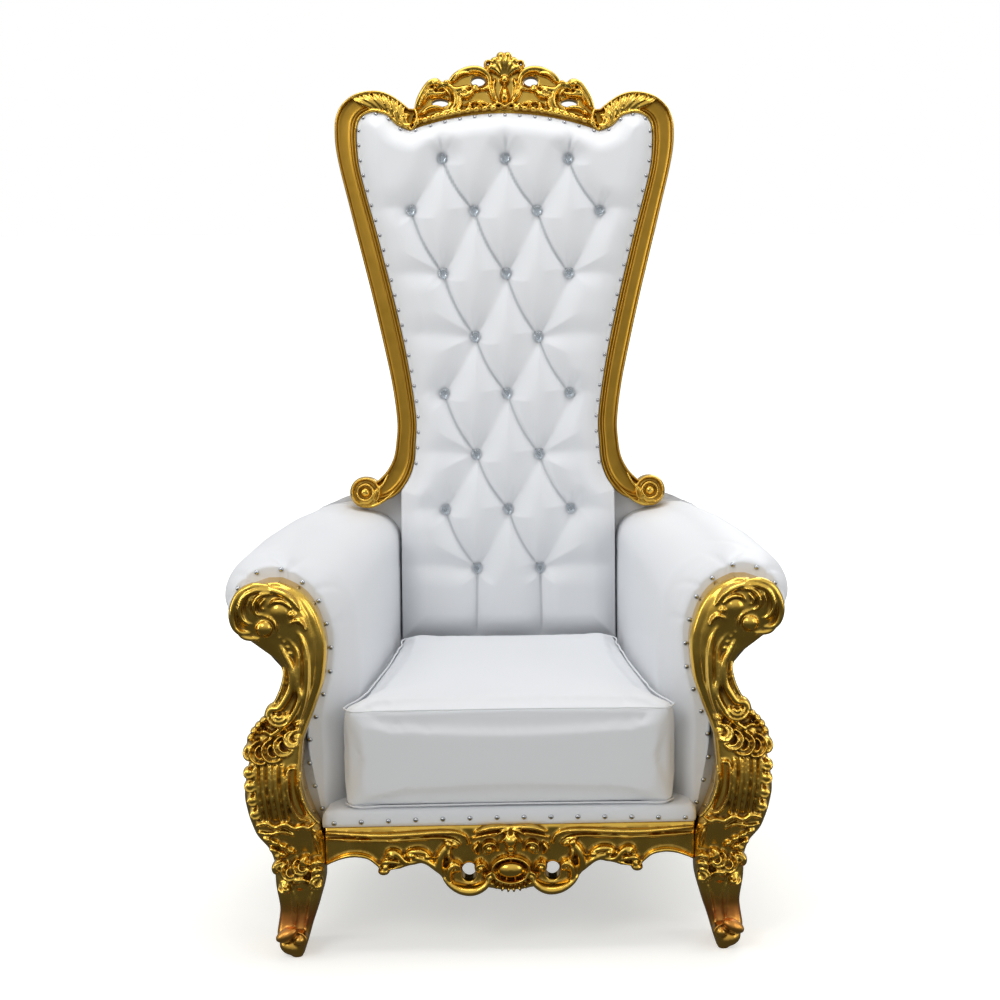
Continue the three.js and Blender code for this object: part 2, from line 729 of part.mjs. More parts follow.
// ---- Seat deck and loose cushion ----
// A closed slab between two heights over a plan that is given for its left half, front to back.
function slab(plan, bottom, top) {
  const shape = new THREE.Shape(
    plan.concat(plan.map(([x, y]) => [-x, y]).reverse()).map(([x, y]) => new THREE.Vector2(x, y)),
  );
  const raised = new THREE.ExtrudeGeometry(shape, { depth: top - bottom, bevelEnabled: false });
  return solid(raised.translate(0, 0, bottom));
}

function seatDeck() {
  const atSeat = (section) => [
    -section.wall[0] + 2 * GAP,
    ARM_FRONT + section.back * (panelFace(RAIL_TOP) - ARM_FRONT),
  ];
  const inner = ARM_SECTIONS.slice(0, -1).map(atSeat);
  const top = slab([[-333, 14], ...inner, [-225, 596]], RAIL_TOP + GAP, DECK_TOP);
  const clear = SIDE_RAIL.thick + GAP + 1;
  const box = [
    [-RAIL_HALF + 2, RAIL_BACK + GAP],
    [-RAIL_HALF + 2, ARM_FRONT],
    [-SIDE_RAIL.frontX + clear, ARM_FRONT],
    [-SIDE_RAIL.rearX + clear, REAR_LEG_FRONT - GAP],
    [-318, REAR_LEG_FRONT - GAP],
    [-318, 598],
  ];
  return top.add(slab(box, RAIL_BOTTOM + 20, RAIL_TOP - GAP)).add(
    slab([[-250, 60], [-220, 590]], RAIL_TOP - 10, RAIL_TOP + 10),
  );
}

function seatCushion() {
  // Half plan: the middle of the front, the rounded front corner, the arm's bulge and the rear.
  const plan = [[0, 15], [-200, 15], [-285, 17], [-297, 30], [-272, 126], [-248, 340], [-226, 530]];
  plan.push([-216, 550], [-110, 554], [0, 554]);
  const ring = plan.concat(plan.slice(1, -1).map(([x, y]) => [-x, y]).reverse());
  const middle = 284;
  // Height and how far the side is drawn in there.
  const levels = [[DECK_TOP + GAP, 24], [270, 5], [300, 0], [436, 0], [CUSHION_TOP, 5], [456, 60]];
  return loft(
    levels.map(([height, drawn]) =>
      ring.map(([x, y]) => {
        const away = new THREE.Vector2(x, y - middle);
        away.setLength(Math.max(0, away.length() - drawn));
        return new THREE.Vector3(away.x, away.y + middle, height);
      }),
    ),
  );
}

// ---- The throne ----
const throne = new THREE.Group();
throne.name = "throne";

const leftPost = piece("front_post_left", join([postBoard(), ...postCarving()]), gilding());
throne.add(leftPost, mirrored(leftPost, "front_post_right"));
throne.add(piece("front_rail", frontRail(), gilding()));
const leftRail = piece("side_rail_left", sideRail(), gilding());
throne.add(leftRail, mirrored(leftRail, "side_rail_right"));
throne.add(piece("rear_rail", rearRail(), gilding()));
const leftLeg = piece("rear_leg_left", rearLeg(), gilding());
throne.add(leftLeg, mirrored(leftLeg, "rear_leg_right"));
const leftArm = piece("arm_left", arm(), leather());
throne.add(leftArm, mirrored(leftArm, "arm_right"));
throne.add(piece("seat_deck", seatDeck(), leather()));
throne.add(piece("seat_cushion", seatCushion(), leather()));

const back = new THREE.Group();
back.position.y = BACK_FOOT;
back.rotation.x = -LEAN;
throne.add(back);
const leftStile = piece("back_frame_left", backFrame(), gilding());
back.add(leftStile, mirrored(leftStile, "back_frame_right"));
const cutter = stileCutter();
back.add(piece("crest", crest([cutter, mirrorSolid(cutter)]), gilding()));
back.add(piece("back_pad", backPad(), leather()));
back.add(piece("back_panel", backPanel(), leather()));
const crystalButton = button();
let count = 0;
for (const [height, columns] of BUTTON_ROWS) {
  for (const column of columns) {
    count += 1;
    const name = `tuft_button_${String(count).padStart(2, "0")}`;
    const stud = piece(name, crystalButton, crystal());
    stud.position.set(column * BUTTON_COLUMN, -PAD_SUNK - 7 - GAP, slope(height));
    back.add(stud);
  }
}

// The origin goes to the floor under the middle of the throne's box.
const box = new THREE.Box3().setFromObject(throne, true);
throne.position.set(-(box.min.x + box.max.x) / 2, -(box.min.y + box.max.y) / 2, -box.min.z);

export default throne;
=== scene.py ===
import bpy
import numpy as np
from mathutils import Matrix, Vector


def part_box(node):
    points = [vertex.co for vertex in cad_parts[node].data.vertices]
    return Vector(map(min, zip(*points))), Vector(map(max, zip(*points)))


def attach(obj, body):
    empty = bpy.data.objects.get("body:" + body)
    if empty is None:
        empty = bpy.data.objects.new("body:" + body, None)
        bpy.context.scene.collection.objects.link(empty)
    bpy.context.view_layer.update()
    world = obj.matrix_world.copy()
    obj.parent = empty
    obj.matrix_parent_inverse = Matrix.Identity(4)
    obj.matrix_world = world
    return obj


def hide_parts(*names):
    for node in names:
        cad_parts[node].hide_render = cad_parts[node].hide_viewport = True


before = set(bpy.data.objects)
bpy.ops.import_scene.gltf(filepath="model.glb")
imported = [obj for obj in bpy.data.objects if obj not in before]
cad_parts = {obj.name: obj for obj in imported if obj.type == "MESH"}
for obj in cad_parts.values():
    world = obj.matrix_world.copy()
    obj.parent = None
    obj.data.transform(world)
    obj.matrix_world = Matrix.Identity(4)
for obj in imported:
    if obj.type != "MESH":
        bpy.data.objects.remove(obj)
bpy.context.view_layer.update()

# ---- Front posts ----
# Arm facing, knee and foot of each side, carved from one board of hardwood, covered in gold leaf
# paint and glazed; the dark in the hollows is glaze and painted shade. The apron is tenoned
# between the two.
POST_BACK = 65.0
FRONT_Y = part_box("front_post_left")[1].y - POST_BACK / 1000
# Height, inner edge, outer edge and the depth of the front, from the foot up.
POST = np.array([
    (0, 376, 398, -22), (14, 371, 413, -27), (30, 366, 427, -24), (52, 360, 423, -8),
    (80, 350, 419, -2), (132, 335, 426, -12), (170, 335, 426, -6), (200, 335, 436, -8),
    (222, 336, 456, -16), (262, 354, 468, -25), (300, 366, 475, -28), (340, 372, 470, -26),
    (400, 367, 456, -18), (428, 357, 444, -10), (449, 348, 430, -6), (503, 329, 399, 0),
    (531, 325, 402, 0), (549, 323, 412, 0), (568, 322, 438, 0), (590, 324, 466, -2),
    (632, 336, 487, -5), (659, 350, 480, -4), (676, 364, 468, -2), (690, 384, 447, 0),
    (697, 401, 425, 3),
])
POST_TOP = 697
ROD_SIDES = 14


def to_row(points):
    """Millimetres from the posts' flat front and the floor, as metres in the throne's own frame."""
    return np.asarray(points, float) / 1000 + np.array([0, FRONT_Y, 0])


def unit(vectors):
    """Each vector at length 1."""
    return vectors / np.linalg.norm(vectors, axis=-1)[..., None]


def full_turn(count):
    """Even angles round a circle."""
    return np.linspace(0, 2 * np.pi, count, endpoint=False)


def in_row(shells):
    """Closed shells (points, faces) from millimetres to the throne's own frame."""
    return [(to_row(points), faces) for points, faces in shells]


def evenly(points, count, closed=False):
    """Evenly spaced points along a broken line; a closed one leaves out its last point."""
    run = np.r_[0, np.cumsum(np.linalg.norm(np.diff(points, axis=0), axis=1))]
    at = np.linspace(0, run[-1], count, endpoint=not closed)
    return np.stack([np.interp(at, run, column) for column in np.asarray(points).T], 1)


def even_curve(points, count, span_steps=24):
    """Evenly spaced points on a Catmull-Rom curve: each span is the cubic that passes through its
    two ends and leaves them parallel to the line between their neighbours."""
    p = np.asarray(points, float)
    p = np.vstack([2 * p[0] - p[1], p, 2 * p[-1] - p[-2]])
    spans = len(p) - 3
    t = np.linspace(0, spans, span_steps * spans + 1)
    k = np.minimum(t.astype(int), spans - 1)
    f = (t - k)[:, None]
    a, b, c, d = p[k], p[k + 1], p[k + 2], p[k + 3]
    fine = b + 0.5 * f * (c - a + f * (2 * a - 5 * b + 4 * c - d + f * (3 * (b - c) + d - a)))
    return evenly(fine, count)


def tube(rings):
    """Closed skin over rings of points (ring, corner, xyz): quads between neighbouring rings, and
    a fan from each end ring to its own middle."""
    count, corners = rings.shape[:2]
    grid = np.arange(count * corners).reshape(count, corners)
    here, ahead = grid[:-1], grid[1:]
    quads = np.stack([here, np.roll(here, -1, 1), np.roll(ahead, -1, 1), ahead], -1).reshape(-1, 4)
    ends = [count * corners, count * corners + 1]
    first, last = grid[0], grid[-1]
    fans = [np.stack([np.full(corners, ends[0]), np.roll(first, -1), first], -1)]
    fans.append(np.stack([np.full(corners, ends[1]), last, np.roll(last, -1)], -1))
    middles = np.stack([rings[0].mean(0), rings[-1].mean(0)])
    return np.vstack([rings.reshape(-1, 3), middles]), quads.tolist() + np.vstack(fans).tolist()


def rod(points, width, rise, face=0.0, thin=0.25, fat=0.5, steps=24, lean=0.0):
    """A carved rib along a curve of (x, z): an oval section, width across and rise out of the face
    to either side of it, times a swell that goes from thin at the ends to 1 at the part fat of
    its length. lean slides the section's crest towards one side, as a gouge leaves it."""
    line = even_curve(points, steps)
    along = unit(np.gradient(line, axis=0))
    across = np.stack([along[:, 1], -along[:, 0]], 1)
    t = np.linspace(0, 1, steps)
    swell = thin + (1 - thin) * np.sin(np.pi * t ** (np.log(0.5) / np.log(fat))) ** 0.7
    depth = face(line[:, 0], line[:, 1]) if callable(face) else np.full(steps, float(face))
    angle = full_turn(ROD_SIDES)
    out = np.cos(angle)
    side = np.sin(angle) + lean * (out > 0) * out
    flat = line[:, None] + across[:, None] * (side[:, None] * (swell * width / 2)[:, None, None])
    y = depth[:, None] - out * (swell * rise)[:, None]
    return tube(np.stack([flat[..., 0], y, flat[..., 1]], -1))


def boss(x, y, z, half_x, half_y, half_z, turn=0.0):
    """An egg: the unit sphere by latitude and longitude, scaled by its half sizes and turned in
    the face by an angle in degrees."""
    up = np.linspace(-np.pi / 2, np.pi / 2, 16)[1:-1, None]
    around = full_turn(24)
    px = half_x * np.cos(up) * np.cos(around)
    pz = half_z * np.cos(up) * np.sin(around)
    a = np.radians(turn)
    turned = [px * np.cos(a) - pz * np.sin(a) + x, px * np.sin(a) + pz * np.cos(a) + z]
    return tube(np.stack([turned[0], y + half_y * np.sin(up) + 0 * around, turned[1]], -1))


def spiral(x, z, radius, end_radius, start, end, count=14):
    """Points at an even turn from one angle to another while the radius goes evenly to its end."""
    angle = np.radians(np.linspace(start, end, count))
    reach = np.linspace(radius, end_radius, count)
    return np.stack([x + reach * np.cos(angle), z + reach * np.sin(angle)], 1)


def linked(name, data):
    """A new object in the scene that shows some data."""
    made = bpy.data.objects.new(name, data)
    bpy.context.scene.collection.objects.link(made)
    return made


def mesh_piece(name, shells, smooth=True):
    """One mesh object at the origin from closed shells in metres."""
    points = np.vstack([s[0] for s in shells])
    faces, shift = [], 0
    for at, own in shells:
        faces += [[i + shift for i in f] for f in own]
        shift += len(at)
    mesh = bpy.data.meshes.new(name)
    mesh.from_pydata(points.tolist(), [], faces)
    if smooth:
        mesh.shade_smooth()
    return linked(name, mesh)


def baked(piece):
    """Works the piece's modifiers into its mesh."""
    graph = bpy.context.evaluated_depsgraph_get()
    done = bpy.data.meshes.new_from_object(piece.evaluated_get(graph))
    piece.modifiers.clear()
    old = piece.data
    piece.data = done
    bpy.data.meshes.remove(old)


def points_of(mesh):
    """All the mesh's points as one array."""
    flat = np.empty(len(mesh.vertices) * 3)
    mesh.vertices.foreach_get("co", flat)
    return flat.reshape(-1, 3)


def edges_of(mesh):
    """The two ends of each of the mesh's edges."""
    ends = np.empty(len(mesh.edges) * 2, int)
    mesh.edges.foreach_get("vertices", ends)
    return ends.reshape(-1, 2)


def eased(points, edges, rounds, share=0.5):
    """Each point moves a share of the way to the mean of its neighbours, rounds times over."""
    a, b = np.r_[edges[:, 0], edges[:, 1]], np.r_[edges[:, 1], edges[:, 0]]
    total = np.bincount(a, minlength=len(points))[:, None]
    for _ in range(rounds):
        near = np.stack([np.bincount(a, c[b], minlength=len(points)) for c in points.T], 1)
        points = points + share * (near / np.maximum(total, 1) - points)
    return points


def mark_hollows(piece, reach=14, depth=0.0011):
    """Stores how far each point lies below the surface round it, as 'hollow': the step to the
    eased surface, measured along the outward normal and divided by a depth in metres."""
    mesh = piece.data
    points = points_of(mesh)
    normal = np.empty(points.size)
    mesh.vertices.foreach_get("normal", normal)
    step = eased(points, edges_of(mesh), reach) - points
    below = np.einsum("ij,ij->i", step, normal.reshape(-1, 3)) / depth
    mesh.attributes.new("hollow", "FLOAT", "POINT")
    mesh.attributes["hollow"].data.foreach_set("value", np.clip(below, -1, 1).astype(np.float32))


def carve(name, shells, grain):
    """Closed shells in millimetres fused into one skin of even squares, grain millimetres wide,
    then eased twice, as sanding and gesso soften the chisel's edges."""
    piece = mesh_piece(name, in_row(shells))
    fuse = piece.modifiers.new("fuse", "REMESH")
    fuse.mode = "VOXEL"
    fuse.voxel_size = grain / 1000 * 1
    baked(piece)
    points = eased(points_of(piece.data), edges_of(piece.data), 2, 0.45)
    piece.data.vertices.foreach_set("co", points.ravel())
    piece.data.update()
    piece.data.shade_smooth()
    # The hollows stored here are darkened in the gold by glaze and painted shade.
    mark_hollows(piece, 14)
    return piece


def mirrored(piece, name):
    """The same piece for the other side: x changes sign and each face runs the other way."""
    twin = piece.copy()
    twin.name = name
    twin.data = piece.data.copy()
    points = points_of(twin.data) * [-1, 1, 1]
    twin.data.vertices.foreach_set("co", points.ravel())
    twin.data.flip_normals()
    bpy.context.scene.collection.objects.link(twin)
    return twin


def paint(code):
    """An sRGB hex colour as linear red, green, blue and alpha."""
    part = np.array([int(code[i : i + 2], 16) for i in (1, 3, 5)]) / 255
    linear = np.where(part <= 0.04045, part / 12.92, ((part + 0.055) / 1.055) ** 2.4)
    return (*linear, 1.0)


def add(tree, kind, settings=None, links=None):
    """Adds a node of a kind, with its own settings, and its sockets' values or links by name."""
    made = tree.nodes.new(kind)
    for key, value in (settings or {}).items():
        setattr(made, key, value)
    for key, value in (links or {}).items():
        if isinstance(value, bpy.types.NodeSocket):
            tree.links.new(value, made.inputs[key])
        else:
            made.inputs[key].default_value = value
    return made


def bare_material(name):
    """A new material with only its output, and its node tree."""
    made = bpy.data.materials.new(name)
    made.use_nodes = True
    made.node_tree.nodes.clear()
    return made, made.node_tree, made.node_tree.nodes.new("ShaderNodeOutputMaterial")


def noise(tree, place, scale, detail=2.0):
    """Soft noise between 0 and 1, with so many cells a metre."""
    links = {"Vector": place, "Scale": scale, "Detail": detail}
    return add(tree, "ShaderNodeTexNoise", None, links).outputs["Fac"]


def mapped(tree, value, low, high, start=0.0, end=1.0):
    """A value between low and high as one between start and end, held at both."""
    links = {"Value": value, "From Min": low, "From Max": high, "To Min": start, "To Max": end}
    return add(tree, "ShaderNodeMapRange", None, links).outputs["Result"]


def scaled(tree, value, factor, plus):
    """A value times a factor, plus a third value."""
    links = {0: value, 1: factor, 2: plus}
    return add(tree, "ShaderNodeMath", {"operation": "MULTIPLY_ADD"}, links).outputs[0]


def product(tree, first, second):
    """Two values multiplied."""
    return add(tree, "ShaderNodeMath", {"operation": "MULTIPLY"}, {0: first, 1: second}).outputs[0]


def mixed(tree, share, first, second):
    """The first colour at share 0, the second at 1."""
    links = {"Factor": share, "A": first, "B": second}
    return add(tree, "ShaderNodeMix", {"data_type": "RGBA"}, links).outputs["Result"]


def bumped(tree, height, strength, distance, **under):
    """The normal of a surface raised by a height, over an under-lying normal if one is given."""
    links = {"Height": height, "Strength": strength, "Distance": distance, **under}
    return add(tree, "ShaderNodeBump", None, links).outputs["Normal"]


def surface(tree, output, inputs):
    """The general shader with its inputs, as the material's surface."""
    shader = add(tree, "ShaderNodeBsdfPrincipled", None, inputs)
    tree.links.new(shader.outputs[0], output.inputs["Surface"])


def gold_leaf_paint(name, bright, deep, warm_reflection, glaze_and_shade, rough):
    """Gold leaf paint on gesso, burnished by hand over a dark glazing coat. The metal is bright on what
    stands proud; in the hollows it turns a duller brown, which is the glazing and painted shade of
    the recesses as well. Brush and cloth leave cloudy patches 20 to 40 mm wide, and fine pitting
    about 2 mm apart. On the foot's shaft, from 30 to 110 mm up, a reddish colour is painted in as a
    painted reflection, and the surface is rougher there."""
    made, tree, output = bare_material(name)
    place = add(tree, "ShaderNodeTexCoord").outputs["Object"]
    hollow = add(tree, "ShaderNodeAttribute", {"attribute_name": "hollow"}).outputs["Fac"]
    cloud = noise(tree, place, 34.0, 3.0)
    pits = noise(tree, place, 480.0)
    # Painted shade as well as glaze: in the hollows the colour goes to the brown, duller and less
    # metallic.
    dark = mapped(tree, scaled(tree, cloud, 0.5, hollow), 0.5, 1.3)
    height = add(tree, "ShaderNodeSeparateXYZ", None, {"Vector": place}).outputs["Z"]
    # Painted reflection: a reddish colour in a band up the foot's shaft, which is also made rougher.
    shaft = product(tree, mapped(tree, height, 0.108, 0.07), mapped(tree, height, 0.03, 0.06, 0.3))
    leaf = mixed(tree, cloud, paint(deep), paint(bright))
    metal = mixed(tree, shaft, leaf, paint(warm_reflection))
    polish = scaled(tree, cloud, 0.14, rough - 0.07)
    shaft_roughness = scaled(tree, shaft, 0.16, polish)
    surface(tree, output, {
        "Base Color": mixed(tree, dark, metal, paint(glaze_and_shade)),
        "Metallic": mapped(tree, dark, 0.0, 1.0, 1.0, 0.7),
        "Roughness": scaled(tree, dark, 0.22, shaft_roughness),
        "Normal": bumped(tree, pits, 0.12, 0.0006),
    })
    return made


# The fourth colour is the painted reflection on the foot's shaft; the fifth is the brown of glaze and
# painted shade in the hollows.
carved_gold = gold_leaf_paint("burnished_gold_leaf", "#eac65f", "#cd9f3a", "#bf7c3c", "#5a380f", 0.2)


def post_face(x, z):
    """Depth of the post's plain front at a height, read from its table and the same all across."""
    return np.interp(z, POST[:, 0], POST[:, 3])


def softened(table, rounds):
    """Each row but the first and last becomes a quarter, a half and a quarter of itself and its
    neighbours, rounds times over."""
    for _ in range(rounds):
        table[1:-1] = (table[:-2] + 2 * table[1:-1] + table[2:]) / 4
    return table


def squared(v):
    """The signed square root, which turns a circle's cosine and sine into a rounded square's."""
    return np.sign(v) * np.abs(v) ** 0.5


def rounded_post(foot=0, top=POST_TOP, band=0, proud=0):
    """The plain post: at each height a rounded square between the table's inner and outer edge and
    from its front to its back, with the table eased between its rows and the crown drawn down
    towards its end. With a band it's the body that stands proud of the post and leaves a flat
    border of that width at the inner edge."""
    z = np.linspace(foot, top, 150)
    table = np.stack([np.interp(z, POST[:, 0], column) for column in POST.T[1:]], 1)
    table = softened(table, 6)
    inner, outer, front = table[:, 0] + band, table[:, 1], table[:, 2] - proud
    crown = 600
    z = z - 9 * np.clip((z - crown) / (POST_TOP - crown), 0, 1) ** 2
    angle = full_turn(40)
    x = -((inner + outer) / 2)[:, None] + ((outer - inner) / 2)[:, None] * squared(np.cos(angle))
    y = ((POST_BACK + front) / 2)[:, None]
    y = y + ((POST_BACK - front) / 2)[:, None] * squared(np.sin(angle))
    return tube(np.stack([x, y, z[:, None] + 0 * x], -1))


def ribs(*rows, face=0.0, steps=24):
    """Rods in a list: each row is a line, a width, a rise and, where they differ, thin and fat."""
    return [rod(line, width, rise, face, *swell, steps=steps) for line, width, rise, *swell in rows]


work = [rounded_post(), rounded_post(440, 687, 13, 8)]
# The scroll's leaf fingers sweep from its crown round the outside and hook in towards the eye.
work += ribs(
    ([(-418, 684), (-446, 685), (-468, 672), (-480, 650), (-483, 624), (-473, 603), (-448, 600)],
     15, 12, 0.35),
    ([(-414, 678), (-440, 678), (-460, 668), (-469, 648), (-467, 631), (-457, 619), (-443, 616)],
     12, 16, 0.35),
    ([(-432, 674), (-448, 666), (-456, 650), (-454, 636), (-446, 627)], 8, 12, 0.35),
    ([(-410, 672), (-430, 671), (-442, 659), (-444, 643), (-436, 634), (-424, 635)], 11, 18, 0.35),
    ([(-424, 664), (-432, 656), (-432, 647), (-425, 643)], 7, 17, 0.35),
    ([(-478, 610), (-466, 594), (-446, 590), (-424, 592)], 10, 9, 0.35),
    face=-4,
)
work.append(boss(-427, -5, 610, 17, 18, 17))
work.append(rod(spiral(-427, 610, 22, 20, 120, -60), 6, 15, -4))
# The smooth convex lobe under its arched rib and leaf, and the curl that heads the inner reed.
work.append(boss(-401, -3, 637, 20, 15, 20, -20))
work += ribs(
    ([(-421, 648), (-408, 659), (-391, 657), (-376, 641)], 9, 19, 0.35),
    ([(-428, 681), (-402, 674), (-382, 662), (-366, 640)], 13, 14, 0.35),
    face=-3,
)
work.append(boss(-379, -5, 634, 8, 14, 7))
work.append(rod([(-386, 612), (-377, 622), (-365, 622), (-356, 606)], 9, 16, -3, 0.4))
# Reeds down the S of the facing, with the leaf that starts the bright one.
work += ribs(
    ([(-404, 595), (-390, 590), (-378, 577), (-371, 560), (-370, 536), (-372, 506), (-369, 482),
      (-380, 456), (-398, 433), (-424, 414)], 17, 19, 0.35, 0.6),
    ([(-402, 580), (-394, 562), (-384, 542), (-382, 522), (-385, 500), (-395, 480), (-406, 466),
      (-420, 464), (-427, 450), (-422, 438), (-408, 434)], 19, 21, 0.35, 0.45),
    face=post_face, steps=60,
)
work.append(rod([(-372, 606), (-362, 585), (-357, 557), (-357, 528), (-359, 500), (-364, 470),
                 (-372, 444)], 15, 17, post_face, 0.4, 0.5, 50))
work.append(rod([(-398, 540), (-396, 520), (-401, 498), (-410, 480), (-419, 468)], 9, 15, post_face))
for x, z in [(-402, 592), (-394, 584), (-388, 574), (-384, 563)]:
    work.append(boss(x, -1, z, 7, 11, 4, -35))
for radius, width in [(23, 7), (15, 8), (7, 9)]:
    work.append(rod(spiral(-405, 456, radius, radius - 3, 165, 370), width, 17, -11, 0.4))
work += [boss(-374, -8, 436, 9, 12, 6, 20), boss(-378, -10, 424, 8, 11, 5, 20)]
# The cuff: five crescents, each a scooped bowl with two ribs round it, larger towards the outside.
work.append(boss(-450, 2, 402, 17, 16, 16))
for x, z, size in [(-457, 384, 14), (-440, 384, 22), (-418, 387, 22), (-400, 395, 19), (-385, 408, 15)]:
    work.append(boss(x + 7, -6, z + 2, size * 0.55, 12, size * 0.65, 15))
    for share, thick, high in [(1.0, 8, 21), (0.6, 7, 17)]:
        line = spiral(x + 5 - 3 * share, z + 3, size * share, size * share * 0.84, 100, 325)
        work.append(rod(line, thick, high, -14, 0.45, 0.55, 28))
work.append(rod([(-446, 418), (-434, 424), (-422, 418), (-408, 414)], 9, 12, -9))
for x, z, size in [(-458, 412, 7), (-452, 424, 7), (-444, 434, 7), (-436, 443, 6)]:
    work.append(boss(x, -8, z, size, 14, size * 0.8, 40))
# The knee's flutes, the panel on its inner side, and the leafy buds down its outer edge.
for x, wide, high in [(-449, 8, 7), (-438, 10, 9), (-426, 8, 7), (-415, 11, 9), (-403, 8, 8)]:
    work.append(rod([(x, 364), (x + 1, 320), (x + 8, 262)], wide, high, post_face, 0.6))
work += ribs(
    ([(-378, 358), (-391, 356), (-394, 330), (-390, 296), (-377, 268), (-362, 262)], 8, 11, 0.5),
    ([(-371, 352), (-372, 320), (-362, 286), (-350, 266), (-340, 254)], 7, 10, 0.5),
    face=post_face, steps=40,
)
work.append(rod([(-378, 252), (-362, 246), (-344, 258)], 8, 12, post_face))
for x, z, size in [(-464, 352, 12), (-462, 328, 13), (-459, 302, 12), (-455, 276, 12)]:
    work.append(boss(x + 2, post_face(x, z) + 5, z, size * 0.85, 15, size * 0.8, 35))
    work.append(rod(spiral(x + 5, z, size * 0.9, size * 0.6, 170, 330), 6, 13, post_face(x, z) + 1, 0.5))
# The wavy moulding under the knee, the strings of leaves on the neck, and the curls at the ankle.
work.append(rod([(-452, 252), (-434, 258), (-418, 250), (-400, 256), (-384, 247), (-366, 250),
                 (-346, 238)], 11, 12, post_face, 0.6, 0.5, 50))
work += ribs(
    ([(-450, 238), (-428, 236), (-404, 240), (-386, 230)], 8, 9),
    ([(-352, 236), (-346, 214), (-344, 190)], 8, 9),
    face=post_face,
)
buds = [(-434, 226), (-420, 218), (-406, 210), (-424, 202), (-394, 200), (-408, 194), (-418, 190)]
for x, z in buds:
    work.append(boss(x, post_face(x, z) - 2, z, 9, 11, 6, -30))
for x, z, r, a, b in [
    (-414, 166, 14, 60, 270), (-394, 160, 19, 110, 335), (-373, 170, 18, 120, 350),
    (-367, 180, 10, 60, 330), (-348, 171, 12, 10, 230), (-348, 156, 12, 10, 230),
    (-348, 138, 15, 60, 340), (-405, 134, 13, 190, 355), (-379, 135, 16, 20, 175),
]:
    work.append(boss(x, -6, z, r * 0.75, 11, r * 0.75))
    work.append(rod(spiral(x, z, r, r * 0.6, a, b), 8, 16, -10, 0.4))
    work.append(rod(spiral(x + 1, z + 1, r * 0.5, r * 0.35, a, b), 6, 17, -10, 0.4))
# The shaft's central rib, and the two lobes of the toe.
work += ribs(
    ([(-392, 122), (-389, 90), (-391, 52)], 9, 6, 0.3),
    ([(-358, 118), (-366, 80), (-372, 46)], 7, 6, 0.3),
    face=post_face,
)
work += [boss(-404, -25, 46, 22, 15, 11, 28), boss(-382, -22, 34, 11, 13, 10)]
work.append(rod(spiral(-382, 34, 15, 12, 120, -120), 5, 14, -18))
work.append(boss(-398, -10, 18, 22, 20, 16, -20))
posts = carve("carved_post_left", work, grain=2.0)
posts.data.materials.append(carved_gold)
right_post = mirrored(posts, "carved_post_right")
for piece, node in [(posts, "front_post_left"), (right_post, "front_post_right")]:
    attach(piece, "root")
    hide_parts(node)

# ---- Front rail ----
# The pierced apron under the seat: two reeds along its top, a hollow, and rococo scrolls about an
# oval cabochon. One carved board, tenoned into the posts.
RAIL_TOP = 232.0
RAIL_FRONT = 10.0
RAIL_BACK = 48
RAIL_END = 335
APRON_BOTTOM = [
    (345, 153), (330, 160), (309, 171), (280, 173), (253, 168), (229, 149), (203, 149), (184, 156),
    (160, 160), (128, 141), (102, 115), (73, 103), (44, 111), (20, 106), (0, 105),
]


def flipped(shell):
    """The shell on the other side of the middle, with its faces turned to point outwards."""
    points, faces = shell
    return points * [-1, 1, 1], [f[::-1] for f in faces]


def between(lower, upper, x, front, back, across=14):
    """A board between a lower and an upper edge: rings round the section at each x, with the front
    face drawn back by a quarter circle over the outer 3 mm of its height."""
    low, high = np.interp(x, *np.array(lower).T), np.interp(x, *np.array(upper).T)
    v = np.linspace(0, 1, across)
    near = np.minimum(v, 1 - v)[None] * (high - low)[:, None]
    dip = 3 - np.sqrt(np.clip(9 - (3 - np.clip(near, 0, 3)) ** 2, 0, 9))
    z = low[:, None] + (high - low)[:, None] * v
    xs = x[:, None] + 0 * z
    face = np.stack([xs, front + dip, z], -1)
    rear = np.stack([xs, back + 0 * z, z], -1)[:, ::-1]
    return tube(np.concatenate([face, rear], 1))


def pierced_board(lower, upper, holes, end, front, back, steps=90, hole_steps=24):
    """A board from -end to end with oval holes: full height beside each hole, and one strip under
    and one over it, whose edges are z = middle -+ half height times sqrt(1 - (dx/r)^2)."""
    strips, x = [], -end
    for cx, cz, half_x, half_z in holes:
        strips.append(between(lower, upper, np.linspace(x, cx - half_x, steps), front, back))
        across = np.linspace(cx - half_x, cx + half_x, hole_steps)
        bow = half_z * np.sqrt(np.clip(1 - ((across - cx) / half_x) ** 2, 0, 1))
        strips.append(between(lower, np.stack([across, cz - bow], 1), across, front, back))
        strips.append(between(np.stack([across, cz + bow], 1), upper, across, front, back))
        x = cx + half_x
    strips.append(between(lower, upper, np.linspace(x, end, steps), front, back))
    return strips


